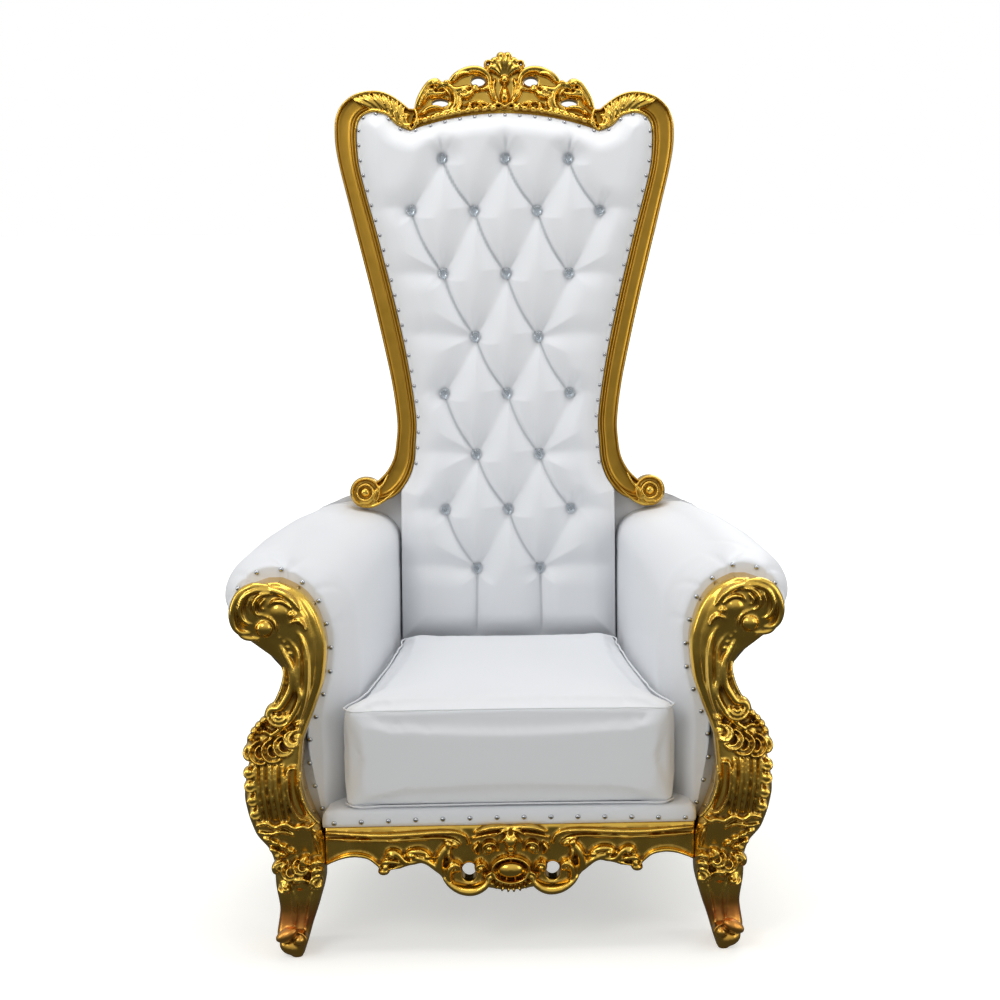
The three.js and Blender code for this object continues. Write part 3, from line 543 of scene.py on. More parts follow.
edge = [(-x, z) for x, z in APRON_BOTTOM] + APRON_BOTTOM[::-1]
top = [(-RAIL_END, RAIL_TOP), (RAIL_END, RAIL_TOP)]
holes = [(-76, 142, 14, 17), (76, 142, 14, 17)]
work = pierced_board(edge, top, holes, RAIL_END, RAIL_FRONT + 4, RAIL_BACK)
half = []
for line, width, rise, face in [
    ([(334, 224), (230, 218), (130, 222), (96, 220), (80, 211), (76, 196)], 9, 12, 11),
    ([(334, 212), (230, 208), (140, 211), (104, 207), (90, 196)], 7, 10, 12),
    ([(66, 219), (44, 228), (20, 230), (0, 230)], 9, 12, 11),
    ([(70, 208), (46, 215), (22, 219), (0, 221)], 6, 10, 12),
    ([(334, 164), (306, 177), (282, 181), (258, 176), (244, 164), (236, 154)], 9, 10, 12),
    ([(222, 152), (206, 156), (186, 163), (162, 168), (140, 156), (118, 132)], 9, 11, 12),
    ([(122, 136), (108, 122), (88, 112), (66, 111), (48, 120), (41, 132), (50, 143)], 19, 19, 9),
    ([(108, 126), (113, 142), (109, 157), (100, 162), (93, 154), (98, 146)], 15, 18, 10),
    ([(122, 136), (129, 160), (123, 184), (108, 198), (96, 194)], 19, 15, 12),
    ([(106, 160), (112, 178), (110, 196)], 9, 16, 11),
    ([(126, 142), (146, 164), (168, 174), (184, 168)], 15, 14, 12),
    ([(140, 172), (160, 186), (182, 186), (192, 176)], 13, 14, 12),
    ([(168, 164), (190, 168), (206, 184), (220, 186), (226, 174)], 14, 15, 12),
    ([(196, 162), (212, 168), (228, 168), (236, 158)], 11, 13, 12),
    ([(222, 166), (228, 156), (224, 149)], 13, 14, 11),
    ([(60, 178), (66, 190), (58, 200)], 7, 14, 12),
    ([(28, 214), (14, 224), (0, 226)], 6, 15, 12),
    ([(20, 200), (10, 210), (4, 222)], 6, 13, 12),
    ([(52, 168), (60, 162), (62, 150)], 9, 14, 12),
]:
    half.append(rod(line, width, rise, face, 0.35, 0.5, 30))
for x, z, r in [(39, 190, 15), (36, 136, 11), (55, 153, 11), (101, 152, 9)]:
    half.append(boss(x, 10, z, r * 0.6, 14, r * 0.6))
    half.append(rod(spiral(x, z, r, r * 0.7, 200, -90), 6, 16, 10, 0.4))
for x, z, r, turn in [
    (180, 180, 7, 0), (214, 182, 7, 20), (150, 178, 6, 0), (112, 200, 8, 40), (230, 150, 9, 0),
]:
    half.append(boss(x, 8, z, r * 1.2, 12, r * 0.8, turn))
# Short rays under the cabochon.
for k in range(6):
    a = np.radians(-84 + 13.5 * k)
    ray = [(41 * np.cos(a), 148 + 31 * np.sin(a)), (52 * np.cos(a), 148 + 43 * np.sin(a))]
    half.append(rod(ray, 6, 12, 11, 0.5))
work += half + [flipped(s) for s in half]
work.append(boss(0, 9, 150, 27, 18, 17))
ring = np.linspace(0, 360, 60)
oval = np.stack([34 * np.cos(np.radians(ring)), 150 + 24 * np.sin(np.radians(ring))], 1)
work.append(rod(oval, 7, 16, 10, 1.0, 0.5, 72))
work += [boss(0, 8, 204, 12, 14, 13), boss(0, 8, 188, 8, 12, 9)]
apron = carve("carved_apron", work, grain=1.75)
apron.data.materials.append(carved_gold)
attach(apron, "root")
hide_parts("front_rail")

# ---- Side and rear rails, rear legs ----
# Plain hardwood rails tenoned between the posts and the raked rear legs, gilded like the front.
# Their solids have their real shape, so they keep it and take the same leaf.
for node in ["side_rail_left", "side_rail_right", "rear_rail", "rear_leg_left", "rear_leg_right"]:
    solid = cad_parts[node]
    for place in solid.material_slots:
        place.material = carved_gold

# ---- Arms ----
# Roll arms: foam over a timber frame under white synthetic leather, pulled tight over the roll and
# tacked to the post's edge with domed nails, from which short creases run back.
BACK_FOOT = 523.5
SLOPE = 0.17
LEAN = np.arctan(SLOPE)
GAP = 0.35
FRAME_THICK = 40.0
ARM_FRONT = POST_BACK + GAP
ARM_SHARE = [0, 0.04, 0.12, 0.4, 0.7, 1]
ARM_POINTS = 190
OUTER_SEAM = 718
# Inner wall at the seat, at 520 and at 590; top's inner corner and shoulder; roll's centre and
# radius; outer wall at its waist, half way down and at its foot.
ARM_SECTION = np.array([
    [333, 313, 309, 320, 632, 340, 670, 418, 630, 82, 388, 418, 422],
    [305, 297, 298, 308, 636, 334, 678, 421, 629, 87, 390, 422, 424],
    [276, 274, 280, 292, 642, 324, 686, 426, 629, 93, 390, 422, 422],
    [257, 257, 262, 272, 650, 306, 694, 408, 632, 92, 386, 416, 412],
    [240, 240, 243, 250, 655, 282, 696, 385, 628, 90, 378, 402, 398],
    [226, 226, 227, 231, 648, 262, 682, 355, 621, 84, 366, 386, 382],
])


def arm_outline(row):
    """One upright section of the left arm as (distance from the middle, height), even points from
    the inner foot over the roll to the outer foot; under its centre the roll is flatter."""
    wall, top, roll, outer = row[:3], row[3:7], row[7:10], row[10:]
    angle = np.radians(np.arange(115, -81, -15.0))
    reach = roll[2] * (1 - 0.33 * np.clip(-np.sin(angle), 0, 1))
    curl = np.stack([roll[0] + reach * np.cos(angle), roll[1] + reach * np.sin(angle)], 1)
    inner = [(wall[0], 232.5), (wall[0], 330), (wall[0], 430), (wall[1], 520), (wall[2], 590)]
    crown = [(top[0], top[1]), (top[2], top[3])]
    rest = [(outer[0], 505), (outer[1], 400), (outer[2] + 1, 310), (outer[2], 232.5)]
    return even_curve(np.vstack([inner, crown, curl, rest]), ARM_POINTS)


def arm_skin():
    """The arm's section carried back: each of its thirteen sizes is read from the table at a share
    of the depth that is closer together in front."""
    back = np.linspace(0, 1, 110) ** 1.35
    table = np.stack([np.interp(back, ARM_SHARE, c) for c in ARM_SECTION.T], 1)
    table = softened(table, 3)
    flat = np.stack([arm_outline(row) for row in table])
    dist, z = flat[..., 0], flat[..., 1]
    rear = BACK_FOOT + SLOPE * z + (FRAME_THICK - GAP) / np.cos(LEAN)
    y = ARM_FRONT + back[:, None] * (rear - ARM_FRONT)
    return np.stack([-dist, y, z], -1)


def crease(x, y, start, end, depth, width):
    """A fold along a line: depth times a bell across it, fading to nothing at its far end."""
    sx, sy = start
    dx, dy = end[0] - sx, end[1] - sy
    t = ((x - sx) * dx + (y - sy) * dy) / (dx * dx + dy * dy)
    off = ((x - sx) * dy - (y - sy) * dx) / np.hypot(dx, dy)
    fade = np.clip(1 - np.clip(t, 0, 1), 0, 1) ** 1.2 * (t > -0.08) * (t < 1)
    return -depth * fade * np.exp(-((off / (width * (0.5 + 0.8 * np.clip(t, 0, 1)))) ** 2))


arm_rings = arm_skin()
# Millimetres round the section, about 5.2 from point to point, and back: where creases lie.
along = np.arange(float(ARM_POINTS))[None] * 5.2
deep = arm_rings[..., 1] - ARM_FRONT
pull = np.zeros(deep.shape)
for start, end, depth, width in [
    ((455, 2), (500, 70), 3.2, 7), ((440, 2), (420, 95), 3.4, 8), ((385, 2), (350, 60), 2.6, 6),
    ((520, 2), (560, 60), 2.8, 6), ((560, 2), (640, 80), 3.0, 7), ((325, 2), (300, 50), 2.2, 6),
    ((610, 2), (650, 50), 2.4, 6), ((480, 60), (430, 200), 1.4, 12), ((590, 80), (560, 240), 1.2, 14),
]:
    pull += crease(along, deep, start, end, depth, width)
near = np.roll(arm_rings, -1, 1) - np.roll(arm_rings, 1, 1)
out = np.stack([near[..., 2], 0 * near[..., 0], -near[..., 0]], -1)
out /= np.linalg.norm(out, axis=-1)[..., None] + 1e-9
seam = -1.6 * np.exp(-(((along - OUTER_SEAM) / 2.4) ** 2))
out[:, 0], out[:, -1] = out[:, 1], out[:, -2]
# The front edge is drawn in by 7 mm, on a quarter circle over its first 10 mm.
round_off = 7 * (np.sqrt(1 - (1 - np.clip(deep / 10, 0, 1)) ** 2) - 1)
arm_rings = (arm_rings + out * (1.5 * pull + seam + round_off)[..., None])[:, ::-1]
# The foam swells forward over its last few centimetres, against the back of the post.
arm_rings[..., 1] -= 16 * np.exp(-deep / 14)


def synthetic_leather(name, colour, shade, rough):
    """Embossed polyurethane leather: white, with a soft satin sheen. The embossed grain is pebbles
    about 1 mm wide, drawn at 2 mm so that it shows, over a slow unevenness of the foam 60 mm
    across; in the hollows of folds the colour is painted a little greyer, as painted shade."""
    made, tree, output = bare_material(name)
    place = add(tree, "ShaderNodeTexCoord").outputs["Object"]
    hollow = add(tree, "ShaderNodeAttribute", {"attribute_name": "hollow"}).outputs["Fac"]
    pebbles = {"Vector": place, "Scale": 520.0}
    grain = add(tree, "ShaderNodeTexVoronoi", {"feature": "SMOOTH_F1"}, pebbles).outputs["Distance"]
    slow = noise(tree, place, 16.0)
    # Painted shade: towards the shade colour in the hollows of folds and seams.
    fold_shade = mapped(tree, hollow, 0.25, 1.0, 0.0, 0.7)
    swell = bumped(tree, slow, 0.12, 0.004)
    surface(tree, output, {
        "Base Color": mixed(tree, fold_shade, paint(colour), paint(shade)),
        "Roughness": scaled(tree, slow, 0.12, rough - 0.06),
        "IOR": 1.5,
        "Normal": bumped(tree, grain, 0.1, 0.0004, Normal=swell),
    })
    return made


# Its second colour is the painted shade of the hollows in folds and seams.
white_leather = synthetic_leather("white_embossed_leather", "#e6e8eb", "#aeb3b9", 0.5)
left_arm = mesh_piece("roll_arm_left", in_row([tube(arm_rings)]))
left_arm.data.materials.append(white_leather)
right_arm = mirrored(left_arm, "roll_arm_right")
for piece, node in [(left_arm, "arm_left"), (right_arm, "arm_right")]:
    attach(piece, "root")
    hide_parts(node)


def nickel(name, dark="#8f9296", light="#c9ccd0"):
    """Nickel-plated steel, stamped and tumbled bright, faintly cloudy from handling."""
    made, tree, output = bare_material(name)
    place = add(tree, "ShaderNodeTexCoord").outputs["Object"]
    cloud = noise(tree, place, 260.0)
    surface(tree, output, {
        "Base Color": mixed(tree, cloud, paint(dark), paint(light)),
        "Metallic": 1.0,
        "Roughness": scaled(tree, cloud, 0.2, 0.1),
    })
    return made


def nail_heads(name, spots, ways, radius, height):
    """Domed heads: for each spot a cap whose rings go from the rim, sunk a little, to the crown by
    latitude, square to the way the nail was driven."""
    ways = unit(ways)
    side = unit(np.cross(ways, [0.31, 0.17, 0.93]))
    other = np.cross(ways, side)
    shells = []
    lift = np.array([-0.4, 0.0, 0.55, 0.9])
    reach = np.array([0.9, 1.0, 0.75, 0.35])
    angle = full_turn(10)
    circle = reach[:, None, None] * np.stack([np.cos(angle), np.sin(angle)], -1)
    for at, out, a, b in zip(spots, ways, side, other):
        dome = lift[:, None, None] * height * out
        shells.append(tube(at + dome + radius * (circle[..., :1] * a + circle[..., 1:] * b)))
    piece = mesh_piece(name, shells)
    piece.data.materials.append(nickel_plate)
    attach(piece, "root")
    return piece


nickel_plate = nickel("nickel_plated_steel")
# A row of nails round the facing, 5 mm outside the gold: from the roll's outer crown to the seat.
row = even_curve([(-480, 668), (-446, 697), (-412, 703), (-386, 695), (-363, 675), (-346, 655),
                  (-331, 630), (-324, 590), (-318, 549), (-322, 510), (-340, 455), (-352, 420),
                  (-361, 385), (-363, 350), (-357, 310), (-347, 278), (-342, 256)], 14)
spots = np.stack([row[:, 0], 0 * row[:, 0] + ARM_FRONT - 16, row[:, 1]], 1)
ways = np.tile([0.0, -1.0, 0.15], (14, 1))
arm_nails = nail_heads("arm_nails_left", to_row(spots), ways, 0.0046, 0.004)
mirrored_nails = mirrored(arm_nails, "arm_nails_right")
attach(mirrored_nails, "root")

# ---- Seat deck ----
# The sprung seat's nailed border and platform in the same leather, with a black dust cloth under it.
DECK = [(-338, 14), (-332.4, 66), (-304.4, 86), (-275.4, 125), (-256.4, 264), (-239.4, 415),
        (-225, 596)]
DECK_MIDDLE = 300
PLATFORM_TOP = 263.0


def drawn_box(plan, levels, middle, count=220):
    """Rings over a plan given for its left half: at each level the outline shrinks towards the
    middle by a distance in millimetres."""
    left = np.array(plan, float)
    loop = np.vstack([left, left[::-1] * [-1, 1]])
    ring = evenly(np.vstack([loop, loop[:1]]), count, closed=True)
    away = ring - [0, middle]
    size = np.linalg.norm(away, axis=1)[:, None]
    return np.stack([
        np.c_[away * (np.maximum(size - inset, 0) / size) + [0, middle], np.full(count, z)]
        for z, inset in levels
    ])


levels = [
    (232.6, 6), (232.6, 0), (240, -1.5), (250, -1), (257, 1.5), (261, 5), (262.5, 10),
    (PLATFORM_TOP, 20), (262.5, 60), (262, 140), (262, 220),
]
deck = mesh_piece("seat_platform", in_row([tube(drawn_box(DECK, levels, DECK_MIDDLE))]))
deck.data.materials.append(white_leather)
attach(deck, "root")
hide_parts("seat_deck")
NAILS_END = 318
row = np.linspace(-NAILS_END, NAILS_END, 14)
arched = 240 + 6 * np.cos(row / NAILS_END * np.pi / 2)
spots = np.stack([row, 0 * row + 13.5, arched], 1)
nail_heads("seat_border_nails", to_row(spots), np.tile([0.0, -1.0, 0.1], (14, 1)), 0.0052, 0.0045)
plan = [(-330, 52), (-330, 66), (-392, 66), (-348, 569), (-317, 569), (-317, 597)]
under = [(182, 10), (178, 4), (180, 0), (231, 0)]
dust = mesh_piece("dust_cloth", in_row([tube(drawn_box(plan, under, DECK_MIDDLE, 120))]))
dust.data.materials.append(synthetic_leather("black_spunbond_dust_cloth", "#1d1d1f", "#0e0e10", 0.8))
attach(dust, "root")

# ---- Loose cushion ----
# A box cushion: foam in a sewn white leather cover, welted along its top and bottom edges. It fills
# out between its corners and is flat only where it lies on the platform.
CUSHION = [(0, 18), (-200, 18), (-290, 20), (-301, 33), (-273, 126), (-244, 340), (-222, 530),
           (-212, 546), (-110, 550), (0, 550)]
CUSHION_MIDDLE = 284
TOP_SEAM = 446.0
FOOT_SEAM = 268.0
MOST_SWELL = 0.008


def solid_cushion():
    """Rings of the plan from the middle of the underside, up the box's side and in over the top."""
    low = [(PLATFORM_TOP, inset) for inset in (240, 180, 120, 60, 20, 3)]
    side = [(z, 0) for z in np.linspace(FOOT_SEAM, TOP_SEAM - 4, 16)]
    insets = (10, 30, 60, 100, 150, 200, 240)
    crown = [(450 + 6 * np.sin(inset / 240 * 1.57), inset) for inset in insets]
    levels = low + side + [(TOP_SEAM, 2)] + crown
    return tube(drawn_box(CUSHION, levels, CUSHION_MIDDLE, 260))


cushion = mesh_piece("box_cushion", in_row([solid_cushion()]))
fine = cushion.modifiers.new("even", "REMESH")
fine.mode = "VOXEL"
fine.voxel_size = 0.006
baked(cushion)
start = points_of(cushion.data)
cloth = cushion.modifiers.new("fill", "CLOTH")
cloth.settings.use_pressure = True
cloth.settings.uniform_pressure_force = 3
cloth.settings.effector_weights.gravity = 0
cloth.settings.quality = 5
for step in range(1, 17):
    bpy.context.scene.frame_set(step)
graph = bpy.context.evaluated_depsgraph_get()
blown = points_of(cushion.evaluated_get(graph).data)
cushion.modifiers.clear()
bpy.context.scene.frame_set(1)
move = blown - start
size = np.linalg.norm(move, axis=1)[:, None]
blown = start + move * np.minimum(1, MOST_SWELL / np.maximum(size, 1e-9))
blown[:, 2] = np.maximum(blown[:, 2], PLATFORM_TOP / 1000)
cushion.data.vertices.foreach_set("co", blown.ravel())
fine = cushion.modifiers.new("fine", "SUBSURF")
fine.levels = fine.render_levels = 1
baked(cushion)
# The seams: the skin dips towards the welt within a few millimetres of each sewn edge.
flat = points_of(cushion.data) * 1000 - [0, FRONT_Y * 1000, 0]
away = flat[:, :2] - [0, CUSHION_MIDDLE]
rim = np.linalg.norm(away, axis=1)
loop = drawn_box(CUSHION, [(0, 0)], CUSHION_MIDDLE, 1440)[0, :, :2] - [0, CUSHION_MIDDLE]
turn = np.arctan2(loop[:, 1], loop[:, 0])
order = np.argsort(turn)
reach = np.linalg.norm(loop, axis=1)[order]
edge_at = np.interp(np.arctan2(away[:, 1], away[:, 0]), turn[order], reach, period=2 * np.pi)
for height in (TOP_SEAM, FOOT_SEAM):
    off = np.hypot(flat[:, 2] - height, np.minimum(0, rim - edge_at + 4))
    dip = 2.2 * np.exp(-((off / 4.5) ** 2))
    flat[:, :2] -= away / rim[:, None] * dip[:, None]
cushion.data.vertices.foreach_set("co", to_row(flat).ravel())
cushion.data.update()
cushion.data.shade_smooth()
# The cushion's hollows by its seams are painted greyer by the leather: painted shade.
mark_hollows(cushion, 8, 0.002)
cushion.data.materials.append(white_leather)
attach(cushion, "root")
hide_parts("seat_cushion")


def welt(path, radius, sides=8):
    """A closed cord round a loop: circles of a radius square to the path's tangent."""
    along = unit(np.roll(path, -1, 0) - np.roll(path, 1, 0))
    side = unit(np.cross(along, [0, 0, 1.0]))
    other = np.cross(side, along)
    angle = full_turn(sides)[:, None]
    rings = path[:, None] + radius * (np.cos(angle) * side[:, None] + np.sin(angle) * other[:, None])
    count = len(path)
    grid = np.arange(count * sides).reshape(count, sides)
    ahead = np.roll(grid, -1, 0)
    quads = np.stack([grid, ahead, np.roll(ahead, -1, 1), np.roll(grid, -1, 1)], -1)
    return rings.reshape(-1, 3), quads.reshape(-1, 4).tolist()


def skin_radius(piece, height, band, parts=180):
    """How far the skin stands from the middle, by direction, among points within a band: the
    farthest point in each of the parts of a turn."""
    at = points_of(piece.data) * 1000 - [0, FRONT_Y * 1000 + CUSHION_MIDDLE, 0]
    at = at[np.abs(at[:, 2] - height) < band]
    turn = np.arctan2(at[:, 1], at[:, 0])
    part = ((turn + np.pi) / (2 * np.pi) * parts).astype(int) % parts
    reach = np.zeros(parts)
    np.maximum.at(reach, part, np.linalg.norm(at[:, :2], axis=1))
    angles = (np.arange(parts) + 0.5) / parts * 2 * np.pi - np.pi
    good = reach > 0
    return angles[good], reach[good]


welts = []
for height in (TOP_SEAM, FOOT_SEAM):
    angles, reach = skin_radius(cushion, height, 6)
    turn = np.linspace(-np.pi, np.pi, 720, endpoint=False)
    r = np.interp(turn, angles, reach, period=2 * np.pi) - 0.2
    loop = np.stack([r * np.cos(turn), CUSHION_MIDDLE + r * np.sin(turn), 0 * r + height], 1)
    welts.append(welt(loop, 1.7))
cushion_welt = mesh_piece("cushion_welts", in_row(welts))
cushion_welt.data.materials.append(white_leather)
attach(cushion_welt, "root")

# ---- Back frame ----
# The leaning frame of the back: a moulded stile that swells into a carved ear beside the crest and
# ends in a scroll over the arm. Bent boards, carved and gilded; the flat band is left matt.
# Across, height and half width, down the middle of its face.
STILE = np.array(
    [(-193, 1505, 24), (-212, 1511, 22), (-236, 1532, 20), (-260, 1541, 22), (-280, 1543, 22),
     (-303, 1537, 23), (-320, 1525, 24), (-331, 1506, 24), (-334, 1482, 23), (-333, 1449, 22),
     (-326, 1403, 20), (-310, 1339, 20), (-291, 1266, 21), (-275, 1202, 21), (-260, 1141, 21),
     (-237, 1040, 21), (-221, 957, 20), (-212, 884, 20), (-214, 838, 20), (-219, 800, 22),
     (-233, 768, 24), (-254, 745, 24), (-280, 733, 20)], float)
STATIONS = 260
# The stile's moulding: share of the half width, and depth from the frame's plane, round the board.
MOULDING = np.array(
    [(-1, 40), (-1, 22), (-1, 4), (-0.99, -1), (-0.95, -5), (-0.89, -7), (-0.83, -7), (-0.77, -5),
     (-0.73, -1), (-0.71, 2), (-0.66, 3), (-0.4, 3.4), (-0.1, 3.6), (0.2, 3.4), (0.42, 3), (0.48, 0),
     (0.53, -3), (0.6, -4.4), (0.67, -3), (0.71, 0), (0.75, 0.5), (0.79, -2), (0.86, -5), (0.92, -5),
     (0.98, -2), (1, 3), (1, 22), (1, 40), (0.4, 40), (-0.4, 40)])


def leaned(points):
    """From (across, depth behind the frame's plane, true height on that plane) to the throne's
    millimetres: the plane leans back by its slope, and depth is square to it."""
    x, depth, height = np.moveaxis(np.asarray(points, float), -1, 0)
    y = BACK_FOOT + depth * np.cos(LEAN) + height * np.tan(LEAN)
    return np.stack([x, y, height - depth * np.sin(LEAN)], -1)


def on_back(shell):
    """A shell drawn upright, set on the leaning plane."""
    return leaned(shell[0]), shell[1]


def stile_line(count):
    """Even stations down the stile: middle, half width and the normal that points outwards."""
    line = even_curve(STILE, count)
    along = unit(np.gradient(line[:, :2] * [1, 1 / np.cos(LEAN)], axis=0))
    return line[:, :2], line[:, 2], np.stack([along[:, 1], -along[:, 0] * np.cos(LEAN)], 1)


middle, half_width, normal = stile_line(STATIONS)
profile = MOULDING[:, 0][None, :, None] * half_width[:, None, None]
flat = middle[:, None] - profile * normal[:, None]
rings = np.stack([flat[..., 0], MOULDING[:, 1] + 0 * flat[..., 0], flat[..., 1]], -1)
stile = tube(rings)


def on_stile(share, offset):
    """A point of the stile's face: share of its length from the crest, offset across it."""
    at = np.clip(np.asarray(share), 0, 1) * (STATIONS - 1)
    columns = (*middle.T, half_width, *normal.T)
    x, z, wide, out_x, out_z = (np.interp(at, np.arange(STATIONS), c) for c in columns)
    outwards = np.stack([out_x, out_z], -1)
    return np.stack([x, z], -1) - outwards * (np.asarray(offset) * wide)[..., None]


def turned(x, z, turn, rings):
    """A solid of revolution square to the frame: rings of (radius, depth) at angles in turn."""
    return tube(np.stack([
        np.stack([x + radius * np.cos(turn), depth + 0 * turn, z + radius * np.sin(turn)], -1)
        for radius, depth in rings
    ]))


ear = []
# Acanthus lobes cross the ear from its outer to its inner edge, one lapping the next.
for k in range(6):
    share = 0.118 - 0.0175 * k
    big = 1 - 0.05 * k
    shares = [share + 0.012, share + 0.006, share - 0.006, share - 0.022, share - 0.03]
    curve = on_stile(shares, [-0.95, -0.5, 0.0, 0.5, 0.86])
    ear.append(rod(curve, 17 * big, 11, 0, 0.4, 0.5, 26, 0.6))
    shares = [share + 0.004, share - 0.002, share - 0.014, share - 0.026]
    curve = on_stile(shares, [-0.92, -0.4, 0.1, 0.6])
    ear.append(rod(curve, 5, 13, 0, 0.3, 0.5, 20))
ear.append(rod(on_stile(np.linspace(0.2, 0.02, 9), np.full(9, -0.88)), 7, 11, 0, 0.5, 0.5, 60))
ear.append(rod(on_stile(np.linspace(0.19, 0.0, 9), np.full(9, 0.9)), 7, 10, 0, 0.5, 0.5, 60))
for k in range(5):
    spot = on_stile(0.06 - 0.011 * k, 0.35 - 0.1 * k)
    ear.append(boss(spot[0], 0, spot[1], 6, 11, 5, 30 * k))
ear.append(rod(spiral(-206, 1503, 13, 10, 60, 330), 7, 13, 0, 0.6))
ear.append(rod([(-190, 1530), (-184, 1512), (-188, 1494), (-198, 1484)], 9, 12, 0, 0.4))
# The scroll: a drum with a rolled rim, a ring and an eye, and the bead that sweeps under it.
EYE_X, EYE_Z = -299, 735
for radius, y0, y1 in [(33, -3, 46), (27, -8, 40)]:
    turn = full_turn(60)
    depth = [y0, y0, y0 + 4, y1]
    reach = [radius - 8, radius - 3, radius, radius]
    ear.append(turned(EYE_X, EYE_Z, turn, zip(reach, depth)))
ear.append(rod(spiral(EYE_X, EYE_Z, 29, 27, -40, 250, 30), 7, 12, -4, 0.5, 0.5, 60))
ear.append(rod(spiral(EYE_X, EYE_Z, 17, 16, -180, 178, 30), 6, 9, -9, 0.8, 0.5, 50))
ear.append(boss(EYE_X, -8, EYE_Z, 10, 8, 10))
bead = [(-252, 772), (-262, 752), (-276, 738), (-284, 722), (-296, 712), (-314, 716)]
ear.append(rod(bead, 8, 10, -3, 0.4))
ear.append(rod([(-226, 752), (-244, 732), (-264, 716), (-288, 705), (-310, 708)], 7, 8, 2, 0.4))
carved_ear = carve("carved_ear_left", [on_back(s) for s in ear], grain=1.6)
left_frame = mesh_piece("moulded_stile_left", in_row([on_back(stile)]))
matt_gold = gold_leaf_paint("matt_gold_leaf", "#b68d38", "#9f7a28", "#bf7c3c", "#5a380f", 0.36)
carved_ear.data.materials.append(carved_gold)
left_frame.data.materials.append(matt_gold)
for side, node in [(-1, "back_frame_left"), (1, "back_frame_right")]:
    body = left_frame if side < 0 else mirrored(left_frame, "moulded_stile_right")
    head = carved_ear if side < 0 else mirrored(carved_ear, "carved_ear_right")
    for piece in (body, head):
        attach(piece, "root")
    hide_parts(node)

# ---- Crest ----
# The pierced cresting between the ears: a shell over a drop, C-scrolls round four piercings, and
# leaves that run down to the ears. Carved from one board, gilded and glazed; its hollows are
# darkened with painted shade as well.
CREST_TOP = [(-200, 1500), (-191, 1529), (-184, 1543), (-169, 1566), (-157, 1583), (-144, 1589),
             (-122, 1586), (-98, 1602), (-72, 1613), (-49, 1614), (-36, 1610), (-28, 1612), (0, 1618)]
CREST_END = 196


def crest_foot(x):
    """The crest's lower edge: a flat arch, 36 mm over its ends in the middle."""
    return 1483.5 + 36 * (1 - (np.asarray(x) / 200) ** 2)


upper = CREST_TOP + [(-x, z) for x, z in CREST_TOP[-2::-1]]
low_x = np.linspace(-CREST_END, CREST_END, 60)
lower = np.stack([low_x, crest_foot(low_x)], 1)
holes = [(-136, 1543, 18, 8), (-56, 1588, 15, 10), (56, 1588, 15, 10), (136, 1543, 18, 8)]
work = pierced_board(lower, upper, holes, CREST_END, 6, 36)
half = []
for line, width, rise in [
    ([(120, 1576), (104, 1596), (78, 1608), (54, 1609), (38, 1600), (33, 1586), (38, 1574),
      (50, 1570)], 13, 15),
    ([(108, 1584), (92, 1598), (70, 1603)], 6, 18),
    ([(118, 1572), (100, 1566), (84, 1570), (72, 1576)], 13, 14),
    ([(50, 1570), (62, 1570), (70, 1576)], 9, 16),
    ([(96, 1560), (82, 1554), (70, 1562), (64, 1572)], 10, 14),
    ([(188, 1522), (180, 1545), (168, 1566), (156, 1581), (143, 1586), (134, 1578), (140, 1570)], 12, 14),
    ([(180, 1530), (168, 1552), (156, 1566), (144, 1572)], 7, 16),
    ([(142, 1568), (128, 1578), (112, 1570), (104, 1556), (106, 1538), (118, 1526)], 12, 13),
    ([(130, 1572), (118, 1560), (114, 1546)], 6, 16),
    ([(100, 1560), (94, 1544), (100, 1530), (114, 1520)], 9, 13),
    ([(172, 1538), (160, 1556), (140, 1558), (122, 1562)], 9, 13),
    ([(178, 1516), (164, 1526), (148, 1531), (128, 1530)], 9, 13),
    ([(194, 1508), (168, 1508), (140, 1516), (108, 1526), (88, 1528)], 8, 12),
    ([(192, 1497), (150, 1508), (100, 1520), (50, 1528), (0, 1531)], 7, 13),
    ([(28, 1596), (34, 1580), (30, 1562), (20, 1546), (8, 1536)], 8, 13),
    ([(20, 1592), (24, 1576), (22, 1558), (14, 1544)], 6, 14),
    ([(84, 1536), (66, 1542), (46, 1541), (28, 1536)], 6, 11),
]:
    half.append(rod(line, width * 1.25, rise, 5, 0.35, 0.5, 34, 0.3))
for x in range(24, 190, 18):
    half.append(boss(x, 0, crest_foot(x) + 11, 9, 12, 6, -14))
for x, z, r in [
    (144, 1582, 10), (122, 1583, 7), (62, 1573, 8), (84, 1566, 8), (98, 1526, 6), (74, 1534, 6),
    (52, 1538, 6), (30, 1536, 7), (184, 1506, 8), (170, 1520, 6), (152, 1566, 6),
]:
    half.append(boss(x, 2, z, r, 13, r * 0.8))
work += half + [flipped(s) for s in half]
# The shell: six lobes that fan out from its foot, the middle two tallest, over a bead and a drop.
width = 20
for k, reach in [(-2, 30), (-1.1, 38), (-0.32, 45), (0.32, 45), (1.1, 38), (2, 30)]:
    a = np.radians(25 * k)
    foot = (3 * k, 1598)
    tip = (3 * k + reach * np.sin(a), 1600 + reach * np.cos(a))
    half_way = (3 * k + 0.5 * reach * np.sin(a), 1600 + 0.5 * reach * np.cos(a))
    work.append(rod([foot, half_way, tip], width, 16, 8, 0.45, 0.7))
    work.append(boss(tip[0], 8, tip[1] - 5, width * 0.5, 17, width * 0.42, -25 * k))
for side in (-1, 1):
    work.append(rod(spiral(side * 33, 1622, 9, 4, 90 - side * 200, 90 + side * 160), 7, 15, 8, 0.5))
work.append(boss(0, 0, 1588, 10, 17, 10))
work.append(rod([(0, 1576), (0, 1560), (0, 1540)], 20, 17, 6, 0.35, 0.6, 30))
work.append(rod([(-30, 1532), (-14, 1540), (0, 1533), (14, 1540), (30, 1532)], 7, 14, 5, 0.6))
crest = carve("carved_crest", [on_back(s) for s in work], grain=1.5)
crest.data.materials.append(carved_gold)
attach(crest, "root")
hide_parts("crest")

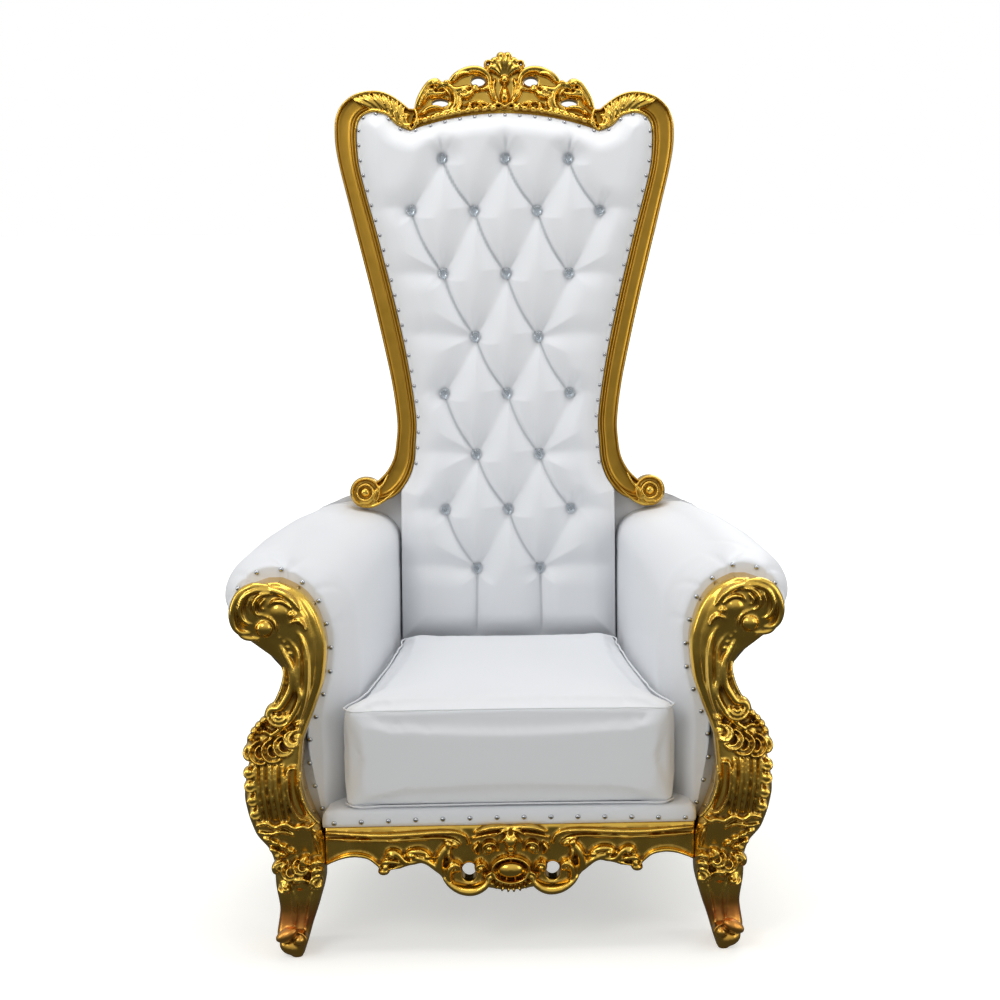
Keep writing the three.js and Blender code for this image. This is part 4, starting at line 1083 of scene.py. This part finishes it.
# ---- Buttoned back pad ----
# Deep-buttoned white leather over foam: twenty-two buttons in a diamond pattern, pleats folded
# between them, drawn tight to the frame and nailed there.
BUTTON_STEP = 66.0
BUTTON_ROWS = [(1424, (-2, 0, 2)), (1316, (-3, -1, 1, 3)), (1186, (-2, 0, 2)), (1055, (-1, 1)),
               (938, (-2, 0, 2)), (812, (-1, 1)), (698, (-2, 0, 2)), (576, (-1, 1))]
PAD_FOOT = 430.0
buttons = np.array([(c * BUTTON_STEP, z) for z, row in BUTTON_ROWS for c in row])

# The pad's edge follows the frame's inner edge and the crest's foot, 0.4 mm clear of them, and the
# ear's inner corner parts its side from its top. Below the scroll it goes straight down.
CLEAR = 0.4
PAD_SIDE = -224.5
EAR_CORNER = (-302, 1505)
inner = on_stile(np.linspace(0, 0.935, 200), np.full(200, 1.0))
inner = inner[inner[:, 1] > 748] + [CLEAR, 0]
corner = int(np.argmin(np.abs(inner - EAR_CORNER).sum(1)))
straight = [(PAD_SIDE, PAD_FOOT), (PAD_SIDE, 600), (PAD_SIDE, 738)]
side_edge = np.vstack([straight, inner[::-1][: len(inner) - corner]])
under_crest = [(x, crest_foot(x) - CLEAR) for x in np.linspace(-190, 0, 20)]
top_half = np.vstack([inner[: corner + 1][::-1], under_crest])


def edge_patch(side, top_left, columns, rows):
    """A patch between four edges: the blend of left with right, plus the blend of foot with top,
    less the blend of the four corners. Also how far each point is from the nearest edge."""
    left = evenly(side, rows)
    right = left * [-1, 1]
    half = evenly(top_left, columns // 2 + 1)
    top = np.vstack([half, half[-2::-1] * [-1, 1]])
    foot = left[0] + np.stack([np.linspace(0, -2 * left[0, 0], columns + 1), np.zeros(columns + 1)], 1)
    u = np.linspace(0, 1, columns + 1)[None, :, None]
    v = np.linspace(0, 1, rows)[:, None, None]
    corners = (1 - v) * ((1 - u) * foot[0] + u * foot[-1]) + v * ((1 - u) * top[0] + u * top[-1])
    grid = (1 - u) * left[:, None] + u * right[:, None] + (1 - v) * foot + v * top - corners
    edge = evenly(np.vstack([grid[:, 0], grid[-1], grid[::-1, -1], grid[0, ::-1]]), 1300)
    to_edge = np.full(grid.shape[:2], 1e9)
    for spot in edge:
        to_edge = np.minimum(to_edge, np.hypot(grid[..., 0] - spot[0], grid[..., 1] - spot[1]))
    return grid[..., 0], grid[..., 1], to_edge


def slab_between(face, rear):
    """Two grids of the same size, front and rear, closed all round."""
    rows, columns = face.shape[:2]
    index = np.arange(rows * columns).reshape(rows, columns)
    front = np.stack([index[:-1, :-1], index[:-1, 1:], index[1:, 1:], index[1:, :-1]], -1)
    loop = np.r_[index[0], index[1:, -1], index[-1, -2::-1], index[-2:0:-1, 0]]
    ahead = np.roll(loop, -1)
    count = rows * columns
    rim = np.stack([ahead, loop, loop + count, ahead + count], -1)
    quads = np.vstack([front.reshape(-1, 4), front.reshape(-1, 4)[:, ::-1] + count, rim])
    return np.vstack([face.reshape(-1, 3), rear.reshape(-1, 3)]), quads.tolist()


def pleat(x, z, a, b, bow, deep, wide, crisp, soft=2.0):
    """A pleat from a to b: a pillow's flank, (1 - d / wide) squared, deepest at the buttons, and a
    fold in its floor, a narrow bell. Soft rounds the floor: d is the root of the squares of the
    distance and soft, less soft. The line bows sideways as a half sine. Deep is the flank's depth
    at a and at b, and how much less it is half way; crisp is the fold's."""
    a, b = np.array(a, float), np.array(b, float)
    span = b - a
    size = np.hypot(*span)
    t = ((x - a[0]) * span[0] + (z - a[1]) * span[1]) / size**2
    inside = np.clip(t, 0, 1)
    off = ((x - a[0]) * span[1] - (z - a[1]) * span[0]) / size - bow * np.sin(np.pi * inside)
    beyond = size * (t - inside)
    d = np.hypot(np.hypot(off, beyond), soft) - soft
    level = deep[0] + (deep[1] - deep[0]) * inside - deep[2] * np.sin(np.pi * inside)
    flank = level * np.clip(1 - d / wide, 0, 1) ** 2
    along = 0.35 + 0.65 * np.sin(np.pi * np.clip(inside, 0.06, 0.94))
    return flank, crisp * np.exp(-((d / 2.6) ** 2)) * along


columns, rows = ((168, 430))
x, z, to_edge = edge_patch(side_edge, top_half, columns, rows)
sunk, folds = np.zeros(x.shape), np.zeros(x.shape)


def press(start, end, bow, *sizes):
    """Adds a pleat to the pad: the deepest flank and the deepest fold are kept."""
    flank, fold = pleat(x, z, start, end, bow, *sizes)
    np.maximum(sunk, flank, out=sunk)
    np.maximum(folds, fold, out=folds)


# The diamonds' sides: those that run down to the right are crisp, the others are soft valleys.
for (height, row), (below, low_row) in zip(BUTTON_ROWS, BUTTON_ROWS[1:]):
    for c in row:
        for step in (-1, 1):
            if c + step in low_row:
                crisp, soft, bow = (0.12, 2.0, 8.0) if step > 0 else (0.0, 12.0, 4.0)
                press((c * BUTTON_STEP, height), ((c + step) * BUTTON_STEP, below), bow * step,
                      (1, 1, 0.42), 46, crisp, soft)
# From the outermost button of each lower row to the pad's edge.
for height, c, end, drop in [
    (1316, 3, 268, 0), (1186, 2, 242, 6), (1055, 1, 205, -4), (938, 2, 190, 4), (812, 1, 188, -4),
    (698, 2, 212, 4), (576, 1, 215, -6),
]:
    for side in (-1, 1):
        start, reach = (side * c * BUTTON_STEP, height), (side * end, height - drop)
        press(start, reach, -side * 5.0, (1, 0.35, 0.3), 40, 0.0, 9.0)
# Short puckers that fan up from each button.
for bx, bz in buttons:
    for dx, dz in [(8, 44), (24, 38)]:
        press((bx, bz), (bx + dx, bz + dz), 0.0, (0.9, 0.0, 0.1), 13, 0.05)
# Up from the top row to the crest, and straight down from the bottom row to the seat.
top_row, bottom_row = BUTTON_ROWS[0], BUTTON_ROWS[-1]
for c in top_row[1]:
    at = c * BUTTON_STEP
    press((at, top_row[0]), (at + 4 * c, 1500), 0.0, (1, 0.0, 0.15), 24, 0.0, 6.0)
for c in bottom_row[1]:
    at = c * BUTTON_STEP
    press((at, bottom_row[0]), (at * 1.04, PAD_FOOT + 10), 0.0, (1, 0.7, 0.3), 40, 0.12)
dimple = np.zeros(x.shape)
for bx, bz in buttons:
    dimple = np.maximum(dimple, np.exp(-((np.hypot(x - bx, z - bz) / 19) ** 2)))
# The pad rises in a lip by its nailed edge and then rounds up over 46 mm to its full thickness.
lip = np.clip(to_edge / 5, 0, 1) ** 0.5
shoulder = 1 - (1 - np.clip((to_edge - 6) / 46, 0, 1)) ** 2
edge = lip * 0.2 + 0.8 * shoulder
lift = edge * (8 + 25 * (1 - np.clip(np.maximum(sunk, dimple), 0, 1)) - 22 * folds)
face = leaned(np.stack([x, -lift, z], -1))
rear = leaned(np.stack([x, 0 * x + 39.5, z], -1))
pad = mesh_piece("buttoned_back_pad", in_row([slab_between(face, rear)]))
# The pleats' hollows are painted greyer by the leather: painted shade.
mark_hollows(pad, 12, 0.0026)
pad.data.materials.append(white_leather)
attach(pad, "root")
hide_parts("back_pad")

# Nails along the inner edge of the frame, 36 mm apart, and under the crest.
row = evenly(np.vstack([side_edge[2:], top_half]), 36)
inward = unit(np.gradient(row, axis=0)[:, ::-1] * [1, -1])
row = row + inward * 5.5
row = row[row[:, 1] > 770]
row = np.vstack([row, (row * [-1, 1])[::-1][1:]])
near = [int(np.argmin(np.hypot(x - a, z - b))) for a, b in row]
spots = leaned(np.stack([row[:, 0], -lift.ravel()[near] - 0.5, row[:, 1]], -1))
nail_heads("back_nails", to_row(spots), np.tile([0.0, -1.0, -0.17], (len(row), 1)), 0.0042, 0.0036)

# ---- Crystal buttons ----
# Cut glass buttons 25 mm across, on a silvered cup that is sewn through the pad.


def cut_crystal(name):
    """Clear lead crystal, cut and polished: fully see-through, with the high index of such glass."""
    made, tree, output = bare_material(name)
    surface(tree, output, {
        "Base Color": paint("#e9eef2"), "Roughness": 0.03, "IOR": 1.56, "Transmission Weight": 1.0,
    })
    return made


# Girdle, crown and table by radius, depth and turn; the cup by radius and depth from its foot.
CRYSTAL = [(12.4, -9.5, 0), (12.5, -12, 0.5), (9.6, -16, 0), (6.2, -18.5, 0.5)]
CUP = [(10, -2), (13.0, -7), (13.2, -10.6), (12.7, -11.4), (12.0, -10.0), (6, -8.2)]
FACETS = 12
crystals, cups = [], []
turn = full_turn(FACETS)
for k, (bx, bz) in enumerate(buttons):
    spin = turn + 0.37 * k
    rings = []
    for radius, depth, half in CRYSTAL:
        a = spin + half * 2 * np.pi / FACETS
        rings.append(np.stack([bx + radius * np.cos(a), depth + 0 * a, bz + radius * np.sin(a)], -1))
    crystals.append(on_back(tube(np.stack(rings))))
    cups.append(on_back(turned(bx, bz, spin, CUP)))
gems = mesh_piece("crystal_buttons", in_row(crystals), smooth=False)
gems.data.materials.append(cut_crystal("cut_lead_crystal"))
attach(gems, "root")
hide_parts(*[f"tuft_button_{k:02d}" for k in range(1, 23)])
settings = mesh_piece("button_cups", in_row(cups), smooth=False)
settings.data.materials.append(nickel("silvered_cup", "#c4c7ca", "#eceef0"))
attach(settings, "root")

# ---- Outside back ----
# A padded board under the same leather, closed all round with a welted edge, from the seat rail up
# to the crest and out over the backs of the arms.
low_side = [(-378, 244), (-380, 400), (-362, 505)]
arc = np.radians(np.arange(-60, 91, 15.0))
reach = 78 * (1 - 0.33 * np.clip(-np.sin(arc), 0, 1))
roll_side = np.stack([-355 - reach * np.cos(arc), 636 + reach * np.sin(arc)], 1)
stile_side = on_stile(np.linspace(0.86, 0.2, 120), np.full(120, 0.15))
back_side = np.vstack([low_side, roll_side, [(-290, 722), (-254, 738), (-230, 780)], stile_side])
ear_top = on_stile(np.linspace(0.2, 0, 40), np.full(40, 0.15))
back_top = np.vstack([ear_top, [(x, crest_foot(x) + 16) for x in np.linspace(-150, 0, 12)]])
px, pz, from_edge = edge_patch(back_side, back_top, columns // 2, rows // 2)
swell = 6 * (1 - (1 - np.clip(from_edge / 12, 0, 1)) ** 2) + 3 * np.clip(from_edge / 150, 0, 1)
face = leaned(np.stack([px, 0 * px + 40.35, pz], -1))
rear = leaned(np.stack([px, 56 + swell, pz], -1))
outside_back = mesh_piece("outside_back", in_row([slab_between(face, rear)]))
outside_back.data.materials.append(white_leather)
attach(outside_back, "root")
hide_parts("back_panel")
left = np.vstack([back_side, back_top[1:]])
right = np.vstack([(back_top * [-1, 1])[-2::-1], (back_side * [-1, 1])[-2::-1]])
loop = evenly(np.vstack([left, right, left[:1]]), 900)[:-1]
cord = welt(leaned(np.stack([loop[:, 0], 0 * loop[:, 0] + 57, loop[:, 1]], -1)), 3.0)
back_welt = mesh_piece("outside_back_welt", in_row([cord]))
back_welt.data.materials.append(white_leather)
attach(back_welt, "root")

# ---- Studio ----
# A wide pale floor in a pale room, and big soft lights over, beside and behind the throne.
RIM = 64
FLOOR_REACH = 40
around = full_turn(RIM)
points = np.stack([FLOOR_REACH * np.cos(around), FLOOR_REACH * np.sin(around), 0 * around], -1)
floor = mesh_piece("studio_floor", [(points, [list(range(RIM))])])
# Seamless paper: matt and pale, lit up for the lens more and more from 0.6 to 2.6 m away.
paper, tree, output = bare_material("seamless_paper")
fleck = add(tree, "ShaderNodeTexNoise", None, {"Scale": 3.0})
place = add(tree, "ShaderNodeTexCoord").outputs["Object"]
away = add(tree, "ShaderNodeVectorMath", {"operation": "LENGTH"}, {"Vector": place}).outputs["Value"]
seen = add(tree, "ShaderNodeLightPath").outputs["Is Camera Ray"]
surface(tree, output, {
    "Base Color": mixed(tree, fleck.outputs["Fac"], paint("#dcdcd8"), paint("#e0e0dc")),
    "Roughness": 0.9,
    "Emission Color": paint("#fdfdfb"),
    "Emission Strength": product(tree, seen, mapped(tree, away, 0.6, 2.6, 0.5, 1.0)),
})
floor.data.materials.append(paper)
floor.visible_glossy = False
# The room: plain white for the lens, an even dim glow for what the matt surfaces gather, and for
# what the metal mirrors a pale ceiling that darkens towards the horizon and below.
world = bpy.data.worlds.new("studio")
world.use_nodes = True
tree = world.node_tree
way = add(tree, "ShaderNodeTexCoord").outputs["Generated"]
up = add(tree, "ShaderNodeSeparateXYZ", None, {"Vector": way}).outputs["Z"]
ray = add(tree, "ShaderNodeLightPath")
level = add(
    tree, "ShaderNodeMapRange", {"interpolation_type": "SMOOTHSTEP"},
    {"Value": up, "From Min": -0.4, "From Max": 0.75, "To Min": 0.09, "To Max": 0.85},
).outputs["Result"]
shade = mapped(tree, ray.outputs["Is Camera Ray"], 0.0, 1.0, level, 1.0)
plain = mapped(tree, ray.outputs["Is Diffuse Ray"], 0.0, 1.0, shade, 0.3)
backdrop = tree.nodes["Background"]
backdrop.inputs["Color"].default_value = paint("#ffffff")
tree.links.new(plain, backdrop.inputs["Strength"])
bpy.context.scene.world = world


def soft_light(name, place, aim, size, power):
    """A square area light at a place, turned to face the aim."""
    data = bpy.data.lights.new(name, "AREA")
    data.shape = "RECTANGLE"
    data.size, data.size_y = size
    data.energy = power
    lamp = linked(name, data)
    lamp.location = place
    way = np.array(aim) - np.array(place)
    lamp.rotation_euler = Vector(way).to_track_quat("-Z", "Y").to_euler()


soft_light("key", (-2.2, -2.6, 3.2), (0, 0, 0.8), (1.6, 1.6), 36)
soft_light("fill", (2.8, -2.2, 1.8), (0, 0, 0.8), (1.2, 2.0), 15)
soft_light("top", (0, 0.2, 3.6), (0, 0.2, 0), (2.4, 1.6), 46)
soft_light("left_strip", (-2.6, -0.6, 1.4), (0, 0, 0.9), (0.5, 2.2), 14)
soft_light("right_strip", (2.6, -0.4, 1.4), (0, 0, 0.9), (0.5, 2.2), 12)
soft_light("rear", (1.6, 3.0, 2.6), (0, 0, 0.9), (1.8, 1.8), 30)
# A camera at eye height, 3.5 m in front, turned a little aside and down.
lens = bpy.data.cameras.new("camera")
lens.lens = 64.8
lens.sensor_width = 36
lens.shift_x = -0.098
camera = linked("camera", lens)
camera.location = (0.006, -3.50528, 1.39)
yaw, pitch = np.radians(2.81), np.radians(-10.21)
look = Vector((np.sin(yaw) * np.cos(pitch), np.cos(yaw) * np.cos(pitch), np.sin(pitch)))
camera.rotation_euler = look.to_track_quat("-Z", "Y").to_euler()
bpy.context.scene.camera = camera
bpy.context.scene.view_settings.view_transform = "Standard"
